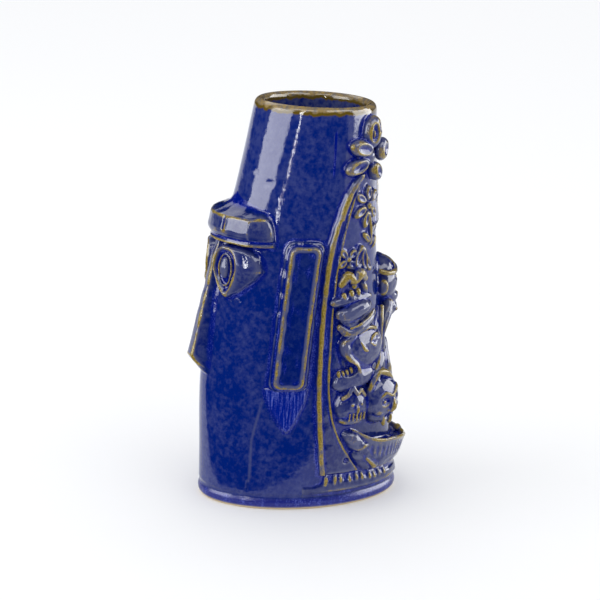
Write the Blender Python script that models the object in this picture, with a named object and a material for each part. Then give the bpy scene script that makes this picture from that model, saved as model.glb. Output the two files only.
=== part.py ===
"""A tall glazed drinking mug of slip-cast stoneware: a hollow oval vessel with a carved stone head's
features on its front and a relief of flowers, masks, a seated figure and a bowl on its back.

Every relief is a sprig, a piece moulded on its own and set on the wall of the vessel. Metres, +Z up,
the nose towards -Y, the bowl towards +Y, the foot on z = 0. The left of the mug is its own left, +X.
"""

import math

import bmesh
import bpy
from mathutils import Matrix, Vector

NAME = "stone_head_mug"

# The vessel. Each station: height, half width (X), depth of the front (-Y), depth of the back (+Y).
HEIGHT = 0.190
STATIONS = (
    (0.000, 0.0320, 0.0504, 0.0495),
    (0.020, 0.0316, 0.0508, 0.0465),
    (0.056, 0.0309, 0.0518, 0.0398),
    (0.090, 0.0303, 0.0492, 0.0346),
    (0.125, 0.0296, 0.0437, 0.0307),
    (0.150, 0.0291, 0.0372, 0.0284),
    (0.190, 0.0283, 0.0293, 0.0268),
)
WALL = 0.0045
FLOOR_TOP = 0.0070
FOOT_RECESS = 0.0015
FOOT_RING_WIDTH = 0.0042
FOOT_INSET = 0.0012
BEAD_TOP = 0.0050
BEAD_BULGE = 0.0003
GROOVE_HEIGHT = 0.0062
GROOVE_DEPTH = 0.0006
LIP_HEIGHT = 0.0030
# How far the vessel's axis stands behind the middle of the whole, which is centred on the origin.
AXIS_Y = 0.0027
AROUND = 36
WALL_RINGS = 10

# Sprigs: the gap to the wall or to a neighbour, and how deep a sprig's blank reaches into the wall.
GAP = 0.0003
ROOT = 0.0030
CUTTER_OVERRUN = 0.010

BROW_LOW = 0.1256
BROW_HIGH = 0.1475
NOSE_LOW = 0.0625
NOSE_HIGH = 0.1250
EYE_TURN = -66.0
EYE_HEIGHT = 0.1145
EYE_SHIFT = -0.0040
EYE_OUT = 0.0050
EAR_TURN_LOW = -22.0
EAR_TURN_HIGH = -19.3
EAR_LOW = 0.0590
EAR_HIGH = 0.1305
EAR_HALF_WIDTH = 0.0094
EAR_OUT = 0.0047
BEAM_LOW = 0.0172
BEAM_HIGH = 0.1600
BOWL_ENDS = 17.0
BOWL_OUT = 0.0078
BOWL_RIM = 0.0300
BOWL_KEEL = 0.0165


# ---------------------------------------------------------------- the wall's shape


def hermite(stations, column, z):
    """A smooth curve through one column of the stations, at height z."""
    last = len(stations) - 1
    z = min(max(z, stations[0][0]), stations[last][0])
    i = 0
    while i < last - 1 and z > stations[i + 1][0]:
        i += 1

    def slope(k):
        low = max(k - 1, 0)
        high = min(k + 1, last)
        return (stations[high][column] - stations[low][column]) / (stations[high][0] - stations[low][0])

    span = stations[i + 1][0] - stations[i][0]
    f = (z - stations[i][0]) / span
    start = stations[i][column]
    end = stations[i + 1][column]
    return (
        (2 * f**3 - 3 * f**2 + 1) * start
        + (f**3 - 2 * f**2 + f) * span * slope(i)
        + (3 * f**2 - 2 * f**3) * end
        + (f**3 - f**2) * span * slope(i + 1)
    )


def normal_at(turn, z):
    """The wall's outward direction, level, at a turn in degrees from +X towards +Y."""
    angle = math.radians(turn)
    depth = hermite(STATIONS, 3 if math.sin(angle) >= 0 else 2, z)
    return Vector((math.cos(angle) / hermite(STATIONS, 1, z), math.sin(angle) / depth, 0)).normalized()


def at(turn, z, out=0.0):
    """The point that stands `out` off the wall, at a turn and a height."""
    angle = math.radians(turn)
    depth = hermite(STATIONS, 3 if math.sin(angle) >= 0 else 2, z)
    on_wall = Vector((hermite(STATIONS, 1, z) * math.cos(angle), depth * math.sin(angle), z))
    return on_wall + normal_at(turn, z) * out


def local_axes(turn, z):
    """Along the wall towards +Y, up, and out."""
    out = normal_at(turn, z)
    return Vector((-out.y, out.x, 0)), Vector((0, 0, 1)), out


# ---------------------------------------------------------------- making solids


def add_mesh(name, verts, faces):
    mesh = bpy.data.meshes.new(name)
    mesh.from_pydata([tuple(v) for v in verts], [], faces)
    bm = bmesh.new()
    bm.from_mesh(mesh)
    bmesh.ops.recalc_face_normals(bm, faces=bm.faces)
    bm.to_mesh(mesh)
    bm.free()
    obj = bpy.data.objects.new(name, mesh)
    parts.objects.link(obj)
    return obj


def loft(name, rings):
    """A closed skin over rings of the same number of points, with a cap on each end."""
    count = len(rings[0])
    verts = [p for ring in rings for p in ring]
    faces = []
    for i in range(len(rings) - 1):
        for j in range(count):
            k = (j + 1) % count
            faces.append((i * count + j, i * count + k, (i + 1) * count + k, (i + 1) * count + j))
    faces.append(tuple(reversed(range(count))))
    faces.append(tuple(range((len(rings) - 1) * count, len(rings) * count)))
    return add_mesh(name, verts, faces)


def apply_boolean(target, other, operation):
    """Cuts or joins with EXACT, then removes the other solid."""
    modifier = target.modifiers.new(operation, "BOOLEAN")
    modifier.operation = operation
    modifier.object = other
    modifier.solver = "EXACT"
    bpy.context.view_layer.update()
    graph = bpy.context.evaluated_depsgraph_get()
    mesh = bpy.data.meshes.new_from_object(target.evaluated_get(graph), depsgraph=graph)
    target.modifiers.clear()
    old = target.data
    target.data = mesh
    bpy.data.meshes.remove(old)
    bpy.data.objects.remove(other)


def joined(name, solids):
    """One body from solids that run into each other."""
    first = solids[0]
    first.name = name
    for other in solids[1:]:
        apply_boolean(first, other, "UNION")
    return first


def ball(turn, z, out, along, up, deep, lean=0.0, segments=10, rings=7):
    """An ellipsoid on the wall: half sizes along the wall, up and out, and its lean in degrees."""
    u, v, n = local_axes(turn, z)
    angle = math.radians(lean)
    u_lean = u * math.cos(angle) + v * math.sin(angle)
    v_lean = v * math.cos(angle) - u * math.sin(angle)
    bm = bmesh.new()
    bmesh.ops.create_uvsphere(bm, u_segments=segments, v_segments=rings, radius=1.0)
    axes = Matrix((u_lean * along, v_lean * up, n * deep)).transposed().to_4x4()
    bmesh.ops.transform(bm, matrix=Matrix.Translation(at(turn, z, out)) @ axes, verts=bm.verts)
    mesh = bpy.data.meshes.new("ball")
    bmesh.ops.recalc_face_normals(bm, faces=bm.faces)
    bm.to_mesh(mesh)
    bm.free()
    obj = bpy.data.objects.new("ball", mesh)
    parts.objects.link(obj)
    return obj


def roll(points, radius, closed=False, sides=1):
    """A round roll of clay along points given as (turn, height, out); a fourth number scales its radius."""
    curve = bpy.data.curves.new("roll", "CURVE")
    curve.dimensions = "3D"
    curve.bevel_depth = radius
    curve.bevel_resolution = sides
    curve.use_fill_caps = not closed
    spline = curve.splines.new("POLY")
    spline.points.add(len(points) - 1)
    for point, place in zip(spline.points, points):
        point.co = (*at(*place[:3]), 1.0)
        point.radius = place[3] if len(place) > 3 else 1.0
    spline.use_cyclic_u = closed
    tube = bpy.data.objects.new("roll", curve)
    parts.objects.link(tube)
    bpy.context.view_layer.update()
    graph = bpy.context.evaluated_depsgraph_get()
    mesh = bpy.data.meshes.new_from_object(tube.evaluated_get(graph), depsgraph=graph)
    bpy.data.objects.remove(tube)
    bm = bmesh.new()
    bm.from_mesh(mesh)
    bmesh.ops.remove_doubles(bm, verts=bm.verts, dist=0.00001)
    bmesh.ops.recalc_face_normals(bm, faces=bm.faces)
    bm.to_mesh(mesh)
    bm.free()
    obj = bpy.data.objects.new("roll", mesh)
    parts.objects.link(obj)
    return obj


def full_turns(count):
    """Angles of evenly spaced points round a circle."""
    return [2 * math.pi * k / count for k in range(count)]


def half_turns(count):
    """Angles of evenly spaced points over half a circle."""
    return [math.pi * k / (count - 1) for k in range(count)]


def wall_blank():
    """The vessel's outside grown by the gap, solid and overlong: it trims the back of each sprig."""
    rings = [ring_at(z, GAP) for z in (-CUTTER_OVERRUN, *outside_heights(), HEIGHT + CUTTER_OVERRUN)]
    blank = loft("wall_blank", rings)
    parts.objects.unlink(blank)
    cutters.objects.link(blank)
    blank.hide_render = True
    blank.display_type = "WIRE"
    return blank


def set_on_wall(sprig):
    """Trims a sprig's back to the wall, one gap off it."""
    apply_boolean(sprig, wall_blank(), "DIFFERENCE")


def clear_of(sprig, neighbour):
    """Trims a sprig where its neighbour stands, one gap off it."""
    spacer = neighbour.copy()
    spacer.data = neighbour.data.copy()
    parts.objects.link(spacer)
    bm = bmesh.new()
    bm.from_mesh(spacer.data)
    bmesh.ops.recalc_face_normals(bm, faces=bm.faces)
    bm.normal_update()
    moves = [v.normal * GAP * 1.6 for v in bm.verts]
    for v, move in zip(bm.verts, moves):
        v.co += move
    bm.to_mesh(spacer.data)
    bm.free()
    apply_boolean(sprig, spacer, "DIFFERENCE")


def mirrored(sprig, name):
    """The same sprig on the mug's other side."""
    bm = bmesh.new()
    bm.from_mesh(sprig.data)
    bmesh.ops.transform(bm, matrix=Matrix.Scale(-1, 4, Vector((1, 0, 0))), verts=bm.verts)
    bmesh.ops.reverse_faces(bm, faces=bm.faces)
    mesh = bpy.data.meshes.new(name)
    bm.to_mesh(mesh)
    bm.free()
    obj = bpy.data.objects.new(name, mesh)
    parts.objects.link(obj)
    return obj


# ---------------------------------------------------------------- the vessel


def ring_at(z, grow=0.0):
    """A level oval of the wall, grown outwards."""
    ring = []
    for k in range(AROUND):
        p = at(360.0 * k / AROUND, min(max(z, 0.0), HEIGHT), grow)
        ring.append(Vector((p.x, p.y, z)))
    return ring


def outside_heights():
    """Heights of the wall's rings between the groove above the foot and the lip."""
    low = GROOVE_HEIGHT + 0.0025
    high = HEIGHT - LIP_HEIGHT
    return [low + (high - low) * i / (WALL_RINGS - 1) for i in range(WALL_RINGS)]


def make_body():
    """The foot, the bead and groove above it, the wall, the round lip, the inside and the floor."""
    inner_foot = -(FOOT_INSET + FOOT_RING_WIDTH)
    rings = [ring_at(FOOT_RECESS, inner_foot - 0.0008)]
    rings.append(ring_at(0.0, inner_foot))
    rings.append(ring_at(0.0, -FOOT_INSET))
    rings.append(ring_at(0.0010, -0.0003))
    rings.append(ring_at(BEAD_TOP * 0.6, BEAD_BULGE))
    rings.append(ring_at(BEAD_TOP, 0.0))
    rings.append(ring_at(GROOVE_HEIGHT, -GROOVE_DEPTH))
    rings += [ring_at(z) for z in outside_heights()]
    lip_radius = WALL / 2
    for degrees in (20, 50, 90, 130, 160, 180):
        angle = math.radians(degrees)
        z = HEIGHT - LIP_HEIGHT + LIP_HEIGHT * math.sin(angle)
        rings.append(ring_at(z, lip_radius * (math.cos(angle) - 1)))
    inside = [z for z in reversed(outside_heights()) if z > FLOOR_TOP + 0.008]
    rings += [ring_at(z, -WALL) for z in inside[1:]]
    rings.append(ring_at(FLOOR_TOP + 0.0030, -WALL - 0.0008))
    rings.append(ring_at(FLOOR_TOP, -WALL - 0.0050))
    return loft("mug_body", rings)


# ---------------------------------------------------------------- the head on the front


def make_brow():
    """A heavy ledge round the brow: a thin lower lip, an upright front, a top that slopes back."""
    half = (
        (0.0, -0.0505),
        (0.0080, -0.0490),
        (0.0150, -0.0453),
        (0.0208, -0.0405),
        (0.0228, -0.0370),
        (0.0246, -0.0295),
        (0.0225, -0.0240),
    )
    outline = [Vector((x, y)) for x, y in half]
    outline += [Vector((-x, y)) for x, y in reversed(half[1:])]
    levels = (
        (BROW_LOW, 0.0034),
        (BROW_LOW + 0.0006, 0.0020),
        (BROW_LOW + 0.0018, 0.0020),
        (BROW_LOW + 0.0030, 0.0014),
        (BROW_LOW + 0.0052, 0.0),
        (BROW_LOW + 0.0112, 0.0002),
        (BROW_LOW + 0.0130, 0.0012),
        (BROW_LOW + 0.0160, 0.0050),
        (BROW_HIGH, 0.0120),
    )
    rings = [[Vector((*(p - p.normalized() * inset), z)) for p in outline] for z, inset in levels]
    brow = loft("brow_ledge", rings)
    set_on_wall(brow)
    return brow


def make_nose():
    """A long wedge: a blunt ridge that leans out down to the tip, and an undercut below it."""
    levels = (
        (NOSE_LOW, 0.0525, 0.0040, 0.0068),
        (0.0685, 0.0576, 0.0037, 0.0072),
        (0.0705, 0.0588, 0.0034, 0.0071),
        (0.0796, 0.0568, 0.0031, 0.0066),
        (0.0916, 0.0545, 0.0028, 0.0060),
        (0.1035, 0.0518, 0.0026, 0.0055),
        (0.1150, 0.0497, 0.0024, 0.0052),
        (NOSE_HIGH, 0.0470, 0.0024, 0.0050),
    )
    rings = []
    for z, ridge, half_ridge, half_root in levels:
        root = -hermite(STATIONS, 2, z) + ROOT
        side = [Vector((half_root, root, z)), Vector((half_ridge, -ridge + 0.0006, z))]
        side.append(Vector((half_ridge - 0.0010, -ridge, z)))
        rings.append(side + [Vector((-p.x, p.y, p.z)) for p in reversed(side)])
    nose = loft("nose", rings)
    set_on_wall(nose)
    return nose


def teardrop(left, right, low, high, count=20):
    """Points of a drop that hangs to a point at the bottom, as (along, up)."""
    points = []
    for k in range(count):
        angle = 2 * math.pi * k / count
        across = math.cos(angle)
        up = math.sin(angle)
        pinch = 1.0 if up > 0 else (1.0 + up) ** 0.45
        reach = right if across > 0 else left
        points.append((abs(reach) * across * pinch, (high if up > 0 else -low) * up))
    return points


def on_eye(along, up, out):
    """A point on the flat frame that the eye is set out on."""
    u, v, n = local_axes(EYE_TURN, EYE_HEIGHT)
    return at(EYE_TURN, EYE_HEIGHT) + u * (along + EYE_SHIFT) + v * up + n * out


def make_eye():
    """A swelling stud with a raised rim round a sunk front."""
    top = BROW_LOW - GAP - EYE_HEIGHT
    levels = (
        (-0.0080, 0.0074, 0.0190, -0.0146, top),
        (-0.0020, 0.0074, 0.0178, -0.0142, top),
        (0.0020, 0.0073, 0.0142, -0.0138, top - 0.0002),
        (EYE_OUT - 0.0006, 0.0071, 0.0092, -0.0130, top - 0.0006),
        (EYE_OUT, 0.0066, 0.0078, -0.0124, top - 0.0012),
        (EYE_OUT, 0.0050, 0.0058, -0.0098, top - 0.0030),
        (EYE_OUT - 0.0024, 0.0045, 0.0051, -0.0088, top - 0.0038),
    )
    rings = []
    for out, left, right, low, high in levels:
        rings.append([on_eye(a, b, out) for a, b in teardrop(left, right, low, high)])
    eye = loft("eye_left", rings)
    set_on_wall(eye)
    return eye


def make_pupil():
    """A low oval boss on the sunk front of the eye."""
    floor = EYE_OUT - 0.0024 + GAP
    count = 14
    rings = []
    for size, out in ((1.0, floor), (0.94, floor + 0.0012), (0.62, floor + 0.0021), (0.25, floor + 0.0024)):
        rings.append(
            [
                on_eye(
                    0.0003 + 0.0026 * size * math.cos(2 * math.pi * k / count),
                    -0.0010 + 0.0054 * size * math.sin(2 * math.pi * k / count),
                    out,
                )
                for k in range(count)
            ]
        )
    return loft("pupil_left", rings)


def rounded_slab(half_width, low, high, corner, steps=5):
    """A rectangle with round corners, as (along, height)."""
    points = []
    for centre_a, centre_z, start in (
        (half_width - corner, high - corner, 0),
        (-half_width + corner, high - corner, 90),
        (-half_width + corner, low + corner, 180),
        (half_width - corner, low + corner, 270),
    ):
        for k in range(steps):
            angle = math.radians(start + 90 * k / (steps - 1))
            points.append((centre_a + corner * math.cos(angle), centre_z + corner * math.sin(angle)))
    return points


def on_ear(along, z, out):
    """A point on the ear's frame, which follows one turn of the wall."""
    u, _, n = local_axes(EAR_TURN_LOW, EAR_LOW)
    turn = EAR_TURN_LOW + (EAR_TURN_HIGH - EAR_TURN_LOW) * (z - EAR_LOW) / (EAR_HIGH - EAR_LOW)
    return at(turn, z) + u * along + n * out


def make_ear():
    """A long slab on a low step, with a raised border round its sunk face."""
    levels = (
        (-ROOT - 0.0014, 0.0, 0.0044),
        (0.0007, 0.0, 0.0044),
        (0.0013, 0.0008, 0.0040),
        (0.0014, 0.0012, 0.0038),
        (EAR_OUT - 0.0008, 0.0014, 0.0036),
        (EAR_OUT, 0.0022, 0.0030),
        (EAR_OUT - 0.0004, 0.0036, 0.0022),
    )
    rings = []
    for out, inset, corner in levels:
        slab = rounded_slab(EAR_HALF_WIDTH - inset, EAR_LOW + inset, EAR_HIGH - inset, corner)
        rings.append([on_ear(a, z, out) for a, z in slab])
    ear = loft("ear_left", rings)
    set_on_wall(ear)
    return ear


def make_ear_drop():
    """A thin pointed run below the ear."""
    top = EAR_LOW - GAP * 2
    outline = (
        (0.0082, top),
        (-0.0082, top),
        (-0.0068, top - 0.0060),
        (-0.0036, top - 0.0150),
        (-0.0014, top - 0.0192),
        (0.0014, top - 0.0192),
        (0.0036, top - 0.0150),
        (0.0068, top - 0.0060),
    )
    middle = top - 0.0080
    rings = []
    for out, size in ((-ROOT, 1.0), (0.0007, 1.0), (0.0012, 0.8)):
        rings.append([on_ear(a * size, middle + (z - middle) * size, out) for a, z in outline])
    drop = loft("ear_drop_left", rings)
    set_on_wall(drop)
    return drop


# ---------------------------------------------------------------- the arch and its flowers


# The arch beam's outer and inner edge: height, turn of the outer edge, turn of the inner edge.
BEAM_EDGES = (
    (BEAM_LOW, -3.0, 17.0),
    (0.0240, -4.0, 12.5),
    (0.0345, -5.0, 6.5),
    (0.0450, -6.0, 2.6),
    (0.0600, -7.0, 0.4),
    (0.0840, -7.2, 0.6),
    (0.1030, -6.8, 1.4),
    (0.1190, -5.6, 4.2),
    (0.1310, -3.4, 8.5),
    (0.1420, 1.6, 14.0),
    (0.1520, 9.4, 21.0),
    (BEAM_HIGH, 21.0, 29.0),
)


def make_beam():
    """One side of a pointed arch: a thick outer bead, a channel and a thin inner edge."""
    rings = []
    for i in range(16):
        z = BEAM_LOW + (BEAM_HIGH - BEAM_LOW) * i / 15
        outer = hermite(BEAM_EDGES, 1, z)
        inner = hermite(BEAM_EDGES, 2, z)
        width = (at(inner, z) - at(outer, z)).length
        section = (
            (0.0, -ROOT),
            (0.0, 0.0016),
            (0.0008, 0.0030),
            (0.0022, 0.0030),
            (0.0031, 0.0012),
            (width - 0.0015, 0.0010),
            (width - 0.0010, 0.0020),
            (width - 0.0003, 0.0019),
            (width, 0.0010),
            (width, -ROOT),
        )
        rings.append([at(outer + (inner - outer) * a / width, z, out) for a, out in section])
    beam = loft("arch_beam_left", rings)
    set_on_wall(beam)
    return beam


def make_flower():
    """Five thick petals round a small heart."""
    turn, z = 32.5, 0.1675
    petals = ((92, 0.0094), (160, 0.0084), (205, 0.0092), (315, 0.0086), (22, 0.0088))
    solids = [ball(turn, z, 0.0012, 0.0046, 0.0046, 0.0036)]
    for degrees, reach in petals:
        angle = math.radians(degrees)
        side = reach * math.cos(angle)
        petal_turn = turn + math.degrees(side / 0.0285)
        solids.append(
            ball(petal_turn, z + reach * math.sin(angle), 0.0014, 0.0060, 0.0040, 0.0032, lean=degrees)
        )
    flower = joined("flower_left", solids)
    set_on_wall(flower)
    return flower


def make_small_flower():
    """Five round petals, a heart, and a stem with two leaves."""
    turn, z = 35.0, 0.1440
    solids = [ball(turn, z, 0.0012, 0.0020, 0.0020, 0.0022)]
    for k in range(5):
        degrees = 90 + 72 * k
        angle = math.radians(degrees)
        petal_turn = turn + math.degrees(0.0042 * math.cos(angle) / 0.029)
        petal_z = z + 0.0042 * math.sin(angle)
        solids.append(ball(petal_turn, petal_z, 0.0009, 0.0030, 0.0021, 0.0018, degrees, 6, 5))
    stem = ((turn, z - 0.0020, 0.0006), (turn + 4.0, z - 0.0100, 0.0006), (turn + 5.0, z - 0.0170, 0.0004))
    solids.append(roll(stem, 0.0011))
    solids.append(ball(turn + 9, z - 0.0110, 0.0006, 0.0034, 0.0015, 0.0015, 35, 6, 5))
    solids.append(ball(turn - 1, z - 0.0130, 0.0006, 0.0032, 0.0014, 0.0015, 140, 6, 5))
    flower = joined("small_flower_left", solids)
    set_on_wall(flower)
    return flower


def make_leaf_spray():
    """A four-lobed blossom beside two upright leaves."""
    solids = [ball(11.5, 0.1205, 0.0010, 0.0020, 0.0020, 0.0020, 0, 6, 5)]
    for degrees in (45, 135, 225, 315):
        angle = math.radians(degrees)
        turn = 11.5 + math.degrees(0.0030 * math.cos(angle) / 0.0305)
        z = 0.1205 + 0.0030 * math.sin(angle)
        solids.append(ball(turn, z, 0.0010, 0.0024, 0.0015, 0.0018, degrees, 6, 5))
    solids.append(roll(((16.0, 0.1190, 0.0006), (20.0, 0.1178, 0.0010), (24.0, 0.1190, 0.0010)), 0.0014))
    solids.append(ball(21.5, 0.1215, 0.0014, 0.0052, 0.0017, 0.0024, 68, 6, 5))
    solids.append(ball(26.5, 0.1195, 0.0014, 0.0058, 0.0019, 0.0026, 100, 6, 5))
    spray = joined("leaf_spray_left", solids)
    set_on_wall(spray)
    return spray


# ---------------------------------------------------------------- masks


def make_upper_mask():
    """A wide open mouth: an arched upper lip, a jaw below, and teeth on it."""
    lip = (
        (6.2, 0.1078, 0.0016),
        (9.5, 0.1122, 0.0026),
        (16.0, 0.1136, 0.0032),
        (23.0, 0.1122, 0.0030),
        (29.5, 0.1072, 0.0020),
    )
    jaw = (
        (6.0, 0.1048, 0.0016),
        (10.5, 0.1032, 0.0024),
        (17.0, 0.1030, 0.0028),
        (24.0, 0.1040, 0.0026),
        (29.5, 0.1062, 0.0018),
    )
    solids = [roll(lip, 0.0025)]
    solids.append(roll(jaw, 0.0020))
    solids.append(ball(6.2, 0.1062, 0.0012, 0.0022, 0.0028, 0.0024, 0, 6, 5))
    solids.append(ball(29.8, 0.1066, 0.0014, 0.0028, 0.0032, 0.0030, 0, 6, 5))
    for turn, z in ((11.5, 0.1052), (17.0, 0.1052), (22.5, 0.1058)):
        solids.append(ball(turn, z, 0.0020, 0.0013, 0.0020, 0.0022, 0, 6, 5))
    mask = joined("upper_mask_left", solids)
    set_on_wall(mask)
    return mask


def make_headband():
    """A thick roll across the profile mask's forehead."""
    path = (
        (6.5, 0.0952, 0.0020, 0.75),
        (10.0, 0.0958, 0.0030),
        (17.0, 0.0974, 0.0036),
        (24.0, 0.0984, 0.0032),
        (31.0, 0.0984, 0.0018, 0.70),
    )
    band = roll(path, 0.0039, sides=2)
    band.name = "headband_left"
    set_on_wall(band)
    return band


def make_brow_bar():
    """A bar that dips to a peak over the nose of the profile mask."""
    path = (
        (6.0, 0.0894, 0.0024, 0.85),
        (11.5, 0.0874, 0.0040),
        (19.0, 0.0892, 0.0040),
        (28.0, 0.0914, 0.0036),
        (38.0, 0.0936, 0.0024, 0.70),
    )
    bar = roll(path, 0.0024, sides=2)
    bar.name = "brow_bar_left"
    set_on_wall(bar)
    return bar


def make_profile_mask():
    """A large face turned to the arch: cheek, nose, eye in a ring, and a jaw under the open mouth."""
    solids = [ball(28.0, 0.0762, -0.0008, 0.0124, 0.0108, 0.0066, 0, 12, 8)]
    solids.append(ball(14.0, 0.0795, 0.0016, 0.0050, 0.0062, 0.0042, 20))
    solids.append(ball(10.0, 0.0778, 0.0018, 0.0028, 0.0036, 0.0030, 10, 6, 5))
    solids.append(ball(21.0, 0.0655, 0.0002, 0.0120, 0.0064, 0.0050, 8, 10, 7))
    solids.append(ball(9.5, 0.0640, 0.0012, 0.0050, 0.0032, 0.0034, 15, 8, 5))
    rim = [(32.0 + 5.0 * math.cos(a), 0.0812 + 0.0034 * math.sin(a), 0.0056) for a in full_turns(8)]
    solids.append(roll(rim, 0.0009, closed=True))
    solids.append(ball(32.0, 0.0812, 0.0050, 0.0014, 0.0018, 0.0014, 0, 6, 5))
    for turn, z in ((6.8, 0.0672), (10.2, 0.0678), (14.0, 0.0692)):
        solids.append(ball(turn, z, 0.0014, 0.0010, 0.0018, 0.0020, 0, 6, 5))
    mask = joined("profile_mask_left", solids)
    set_on_wall(mask)
    return mask


def make_lower_mask():
    """A small face with a jagged crown, two eyes and a barred mouth."""
    turn, z = 18.0, 0.0500
    solids = [ball(turn, z, -0.0006, 0.0094, 0.0092, 0.0060, 0, 12, 8)]
    crown = (
        (turn - 9.0, z + 0.0050, 0.0028),
        (turn - 6.0, z + 0.0064, 0.0040),
        (turn - 2.5, z + 0.0098, 0.0042),
        (turn + 0.5, z + 0.0068, 0.0046),
        (turn + 3.5, z + 0.0082, 0.0042),
        (turn + 7.0, z + 0.0054, 0.0036),
    )
    solids.append(roll(crown, 0.0012))
    for side in (-3.0, 3.0):
        solids.append(ball(turn + side, z + 0.0022, 0.0048, 0.0015, 0.0011, 0.0012, 0, 6, 5))
    solids.append(ball(turn, z, 0.0052, 0.0012, 0.0022, 0.0014, 0, 6, 5))
    for side in (-5.1, -1.7, 1.7, 5.1):
        solids.append(ball(turn + side, z - 0.0047, 0.0040, 0.0008, 0.0019, 0.0013, 0, 6, 5))
    mask = joined("lower_mask_left", solids)
    set_on_wall(mask)
    return mask


def make_fang_mask():
    """A broad face under a leaf hood, with full cheeks and two fangs."""
    solids = [ball(43.5, 0.0525, 0.0002, 0.0122, 0.0116, 0.0078, 0, 12, 8)]
    hood = (
        (29.5, 0.0545, 0.0032),
        (32.5, 0.0605, 0.0042),
        (37.5, 0.0648, 0.0050),
        (44.0, 0.0642, 0.0060),
        (51.0, 0.0605, 0.0060),
        (56.5, 0.0555, 0.0046),
    )
    solids.append(roll(hood, 0.0016))
    brow = (
        (34.5, 0.0530, 0.0074),
        (40.0, 0.0560, 0.0082),
        (47.0, 0.0585, 0.0080),
        (52.0, 0.0595, 0.0066),
    )
    solids.append(roll(brow, 0.0010))
    for turn, z in ((38.0, 0.0512), (49.0, 0.0522)):
        solids.append(ball(turn, z, 0.0072, 0.0023, 0.0016, 0.0012, 10, 6, 5))
    solids.append(ball(43.5, 0.0474, 0.0076, 0.0022, 0.0030, 0.0020, 0, 6, 5))
    solids.append(ball(36.0, 0.0450, 0.0052, 0.0030, 0.0030, 0.0026, 0, 6, 5))
    solids.append(ball(51.5, 0.0455, 0.0052, 0.0030, 0.0030, 0.0026, 0, 6, 5))
    for turn in (38.5, 48.0):
        solids.append(ball(turn, 0.0406, 0.0050, 0.0014, 0.0034, 0.0018, 0, 6, 5))
    mask = joined("fang_mask_left", solids)
    set_on_wall(mask)
    return mask


# ---------------------------------------------------------------- the figure on the back


def make_figure_head():
    """The round head of the seated figure."""
    head = ball(90.0, 0.1035, 0.0012, 0.0110, 0.0116, 0.0104, 0, 12, 9)
    head.name = "figure_head"
    set_on_wall(head)
    return head


def make_figure_cap():
    """A cap with a rolled edge over the top of the head."""
    rim = []
    for angle in half_turns(9):
        turn = 90.0 + 28.0 * math.cos(angle)
        out = 0.0020 + 0.0088 * max(math.sin(angle), 0.0)
        rim.append((turn, 0.1105 + 0.0012 * math.sin(2 * angle), out))
    solids = [ball(90.0, 0.1095, 0.0012, 0.0118, 0.0092, 0.0108, 0, 12, 8)]
    solids.append(roll(rim, 0.0014))
    cap = joined("figure_cap", solids)
    low_half = ball(90.0, 0.0955, 0.0010, 0.0300, 0.0135, 0.0300, 0, 20, 12)
    apply_boolean(cap, low_half, "DIFFERENCE")
    set_on_wall(cap)
    return cap


def make_figure_torso():
    """The chest and belly below the head."""
    solids = [ball(90.0, 0.0885, 0.0006, 0.0078, 0.0062, 0.0084, 0, 12, 8)]
    solids.append(ball(90.0, 0.0800, 0.0004, 0.0072, 0.0072, 0.0056, 0, 12, 8))
    torso = joined("figure_torso", solids)
    set_on_wall(torso)
    return torso


def make_figure_arm():
    """An arm bent from the shoulder down to the knee."""
    path = ((76.0, 0.0915, 0.0050), (68.0, 0.0860, 0.0040), (65.5, 0.0795, 0.0034), (70.0, 0.0745, 0.0044))
    arm = roll(path, 0.0022)
    arm.name = "figure_arm_left"
    set_on_wall(arm)
    return arm


def make_figure_leg():
    """A folded leg: the knee up and the foot down."""
    path = ((82.0, 0.0740, 0.0034), (75.0, 0.0705, 0.0042), (72.0, 0.0650, 0.0030), (78.0, 0.0605, 0.0022))
    leg = roll(path, 0.0024)
    leg.name = "figure_leg_left"
    set_on_wall(leg)
    return leg


def make_leaf_fan():
    """Three pointed leaves between the masks, above the bowl."""
    solids = []
    for degrees, size in ((90, 1.0), (50, 0.82), (130, 0.82)):
        angle = math.radians(degrees)
        turn = 90.0 + math.degrees(0.0068 * size * math.cos(angle) / 0.030)
        z = 0.0440 + 0.0075 * size * math.sin(angle)
        solids.append(ball(turn, z, 0.0010, 0.0086 * size, 0.0026, 0.0030, degrees, 10, 6))
    fan = joined("leaf_fan", solids)
    set_on_wall(fan)
    return fan


def make_crest():
    """A tall leaf with two side leaves on the back above the figure."""
    solids = [ball(90.0, 0.1480, 0.0004, 0.0190, 0.0042, 0.0022, 90, 14, 6)]
    for side in (-1, 1):
        for z, lean in ((0.1400, 52), (0.1520, 60)):
            degrees = 90 - side * (90 - lean)
            solids.append(ball(90.0 - side * 14.0, z, 0.0004, 0.0088, 0.0026, 0.0019, degrees, 10, 5))
    crest = joined("crest_leaf", solids)
    set_on_wall(crest)
    return crest


# ---------------------------------------------------------------- the bowl and the foot of the relief


def bowl_share(turn):
    """0 at the bowl's ends, 1 over its middle."""
    share = (90.0 - abs(turn - 90.0) - BOWL_ENDS) / 26.0
    share = min(max(share, 0.0), 1.0)
    return math.sin(share * math.pi / 2)


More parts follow.
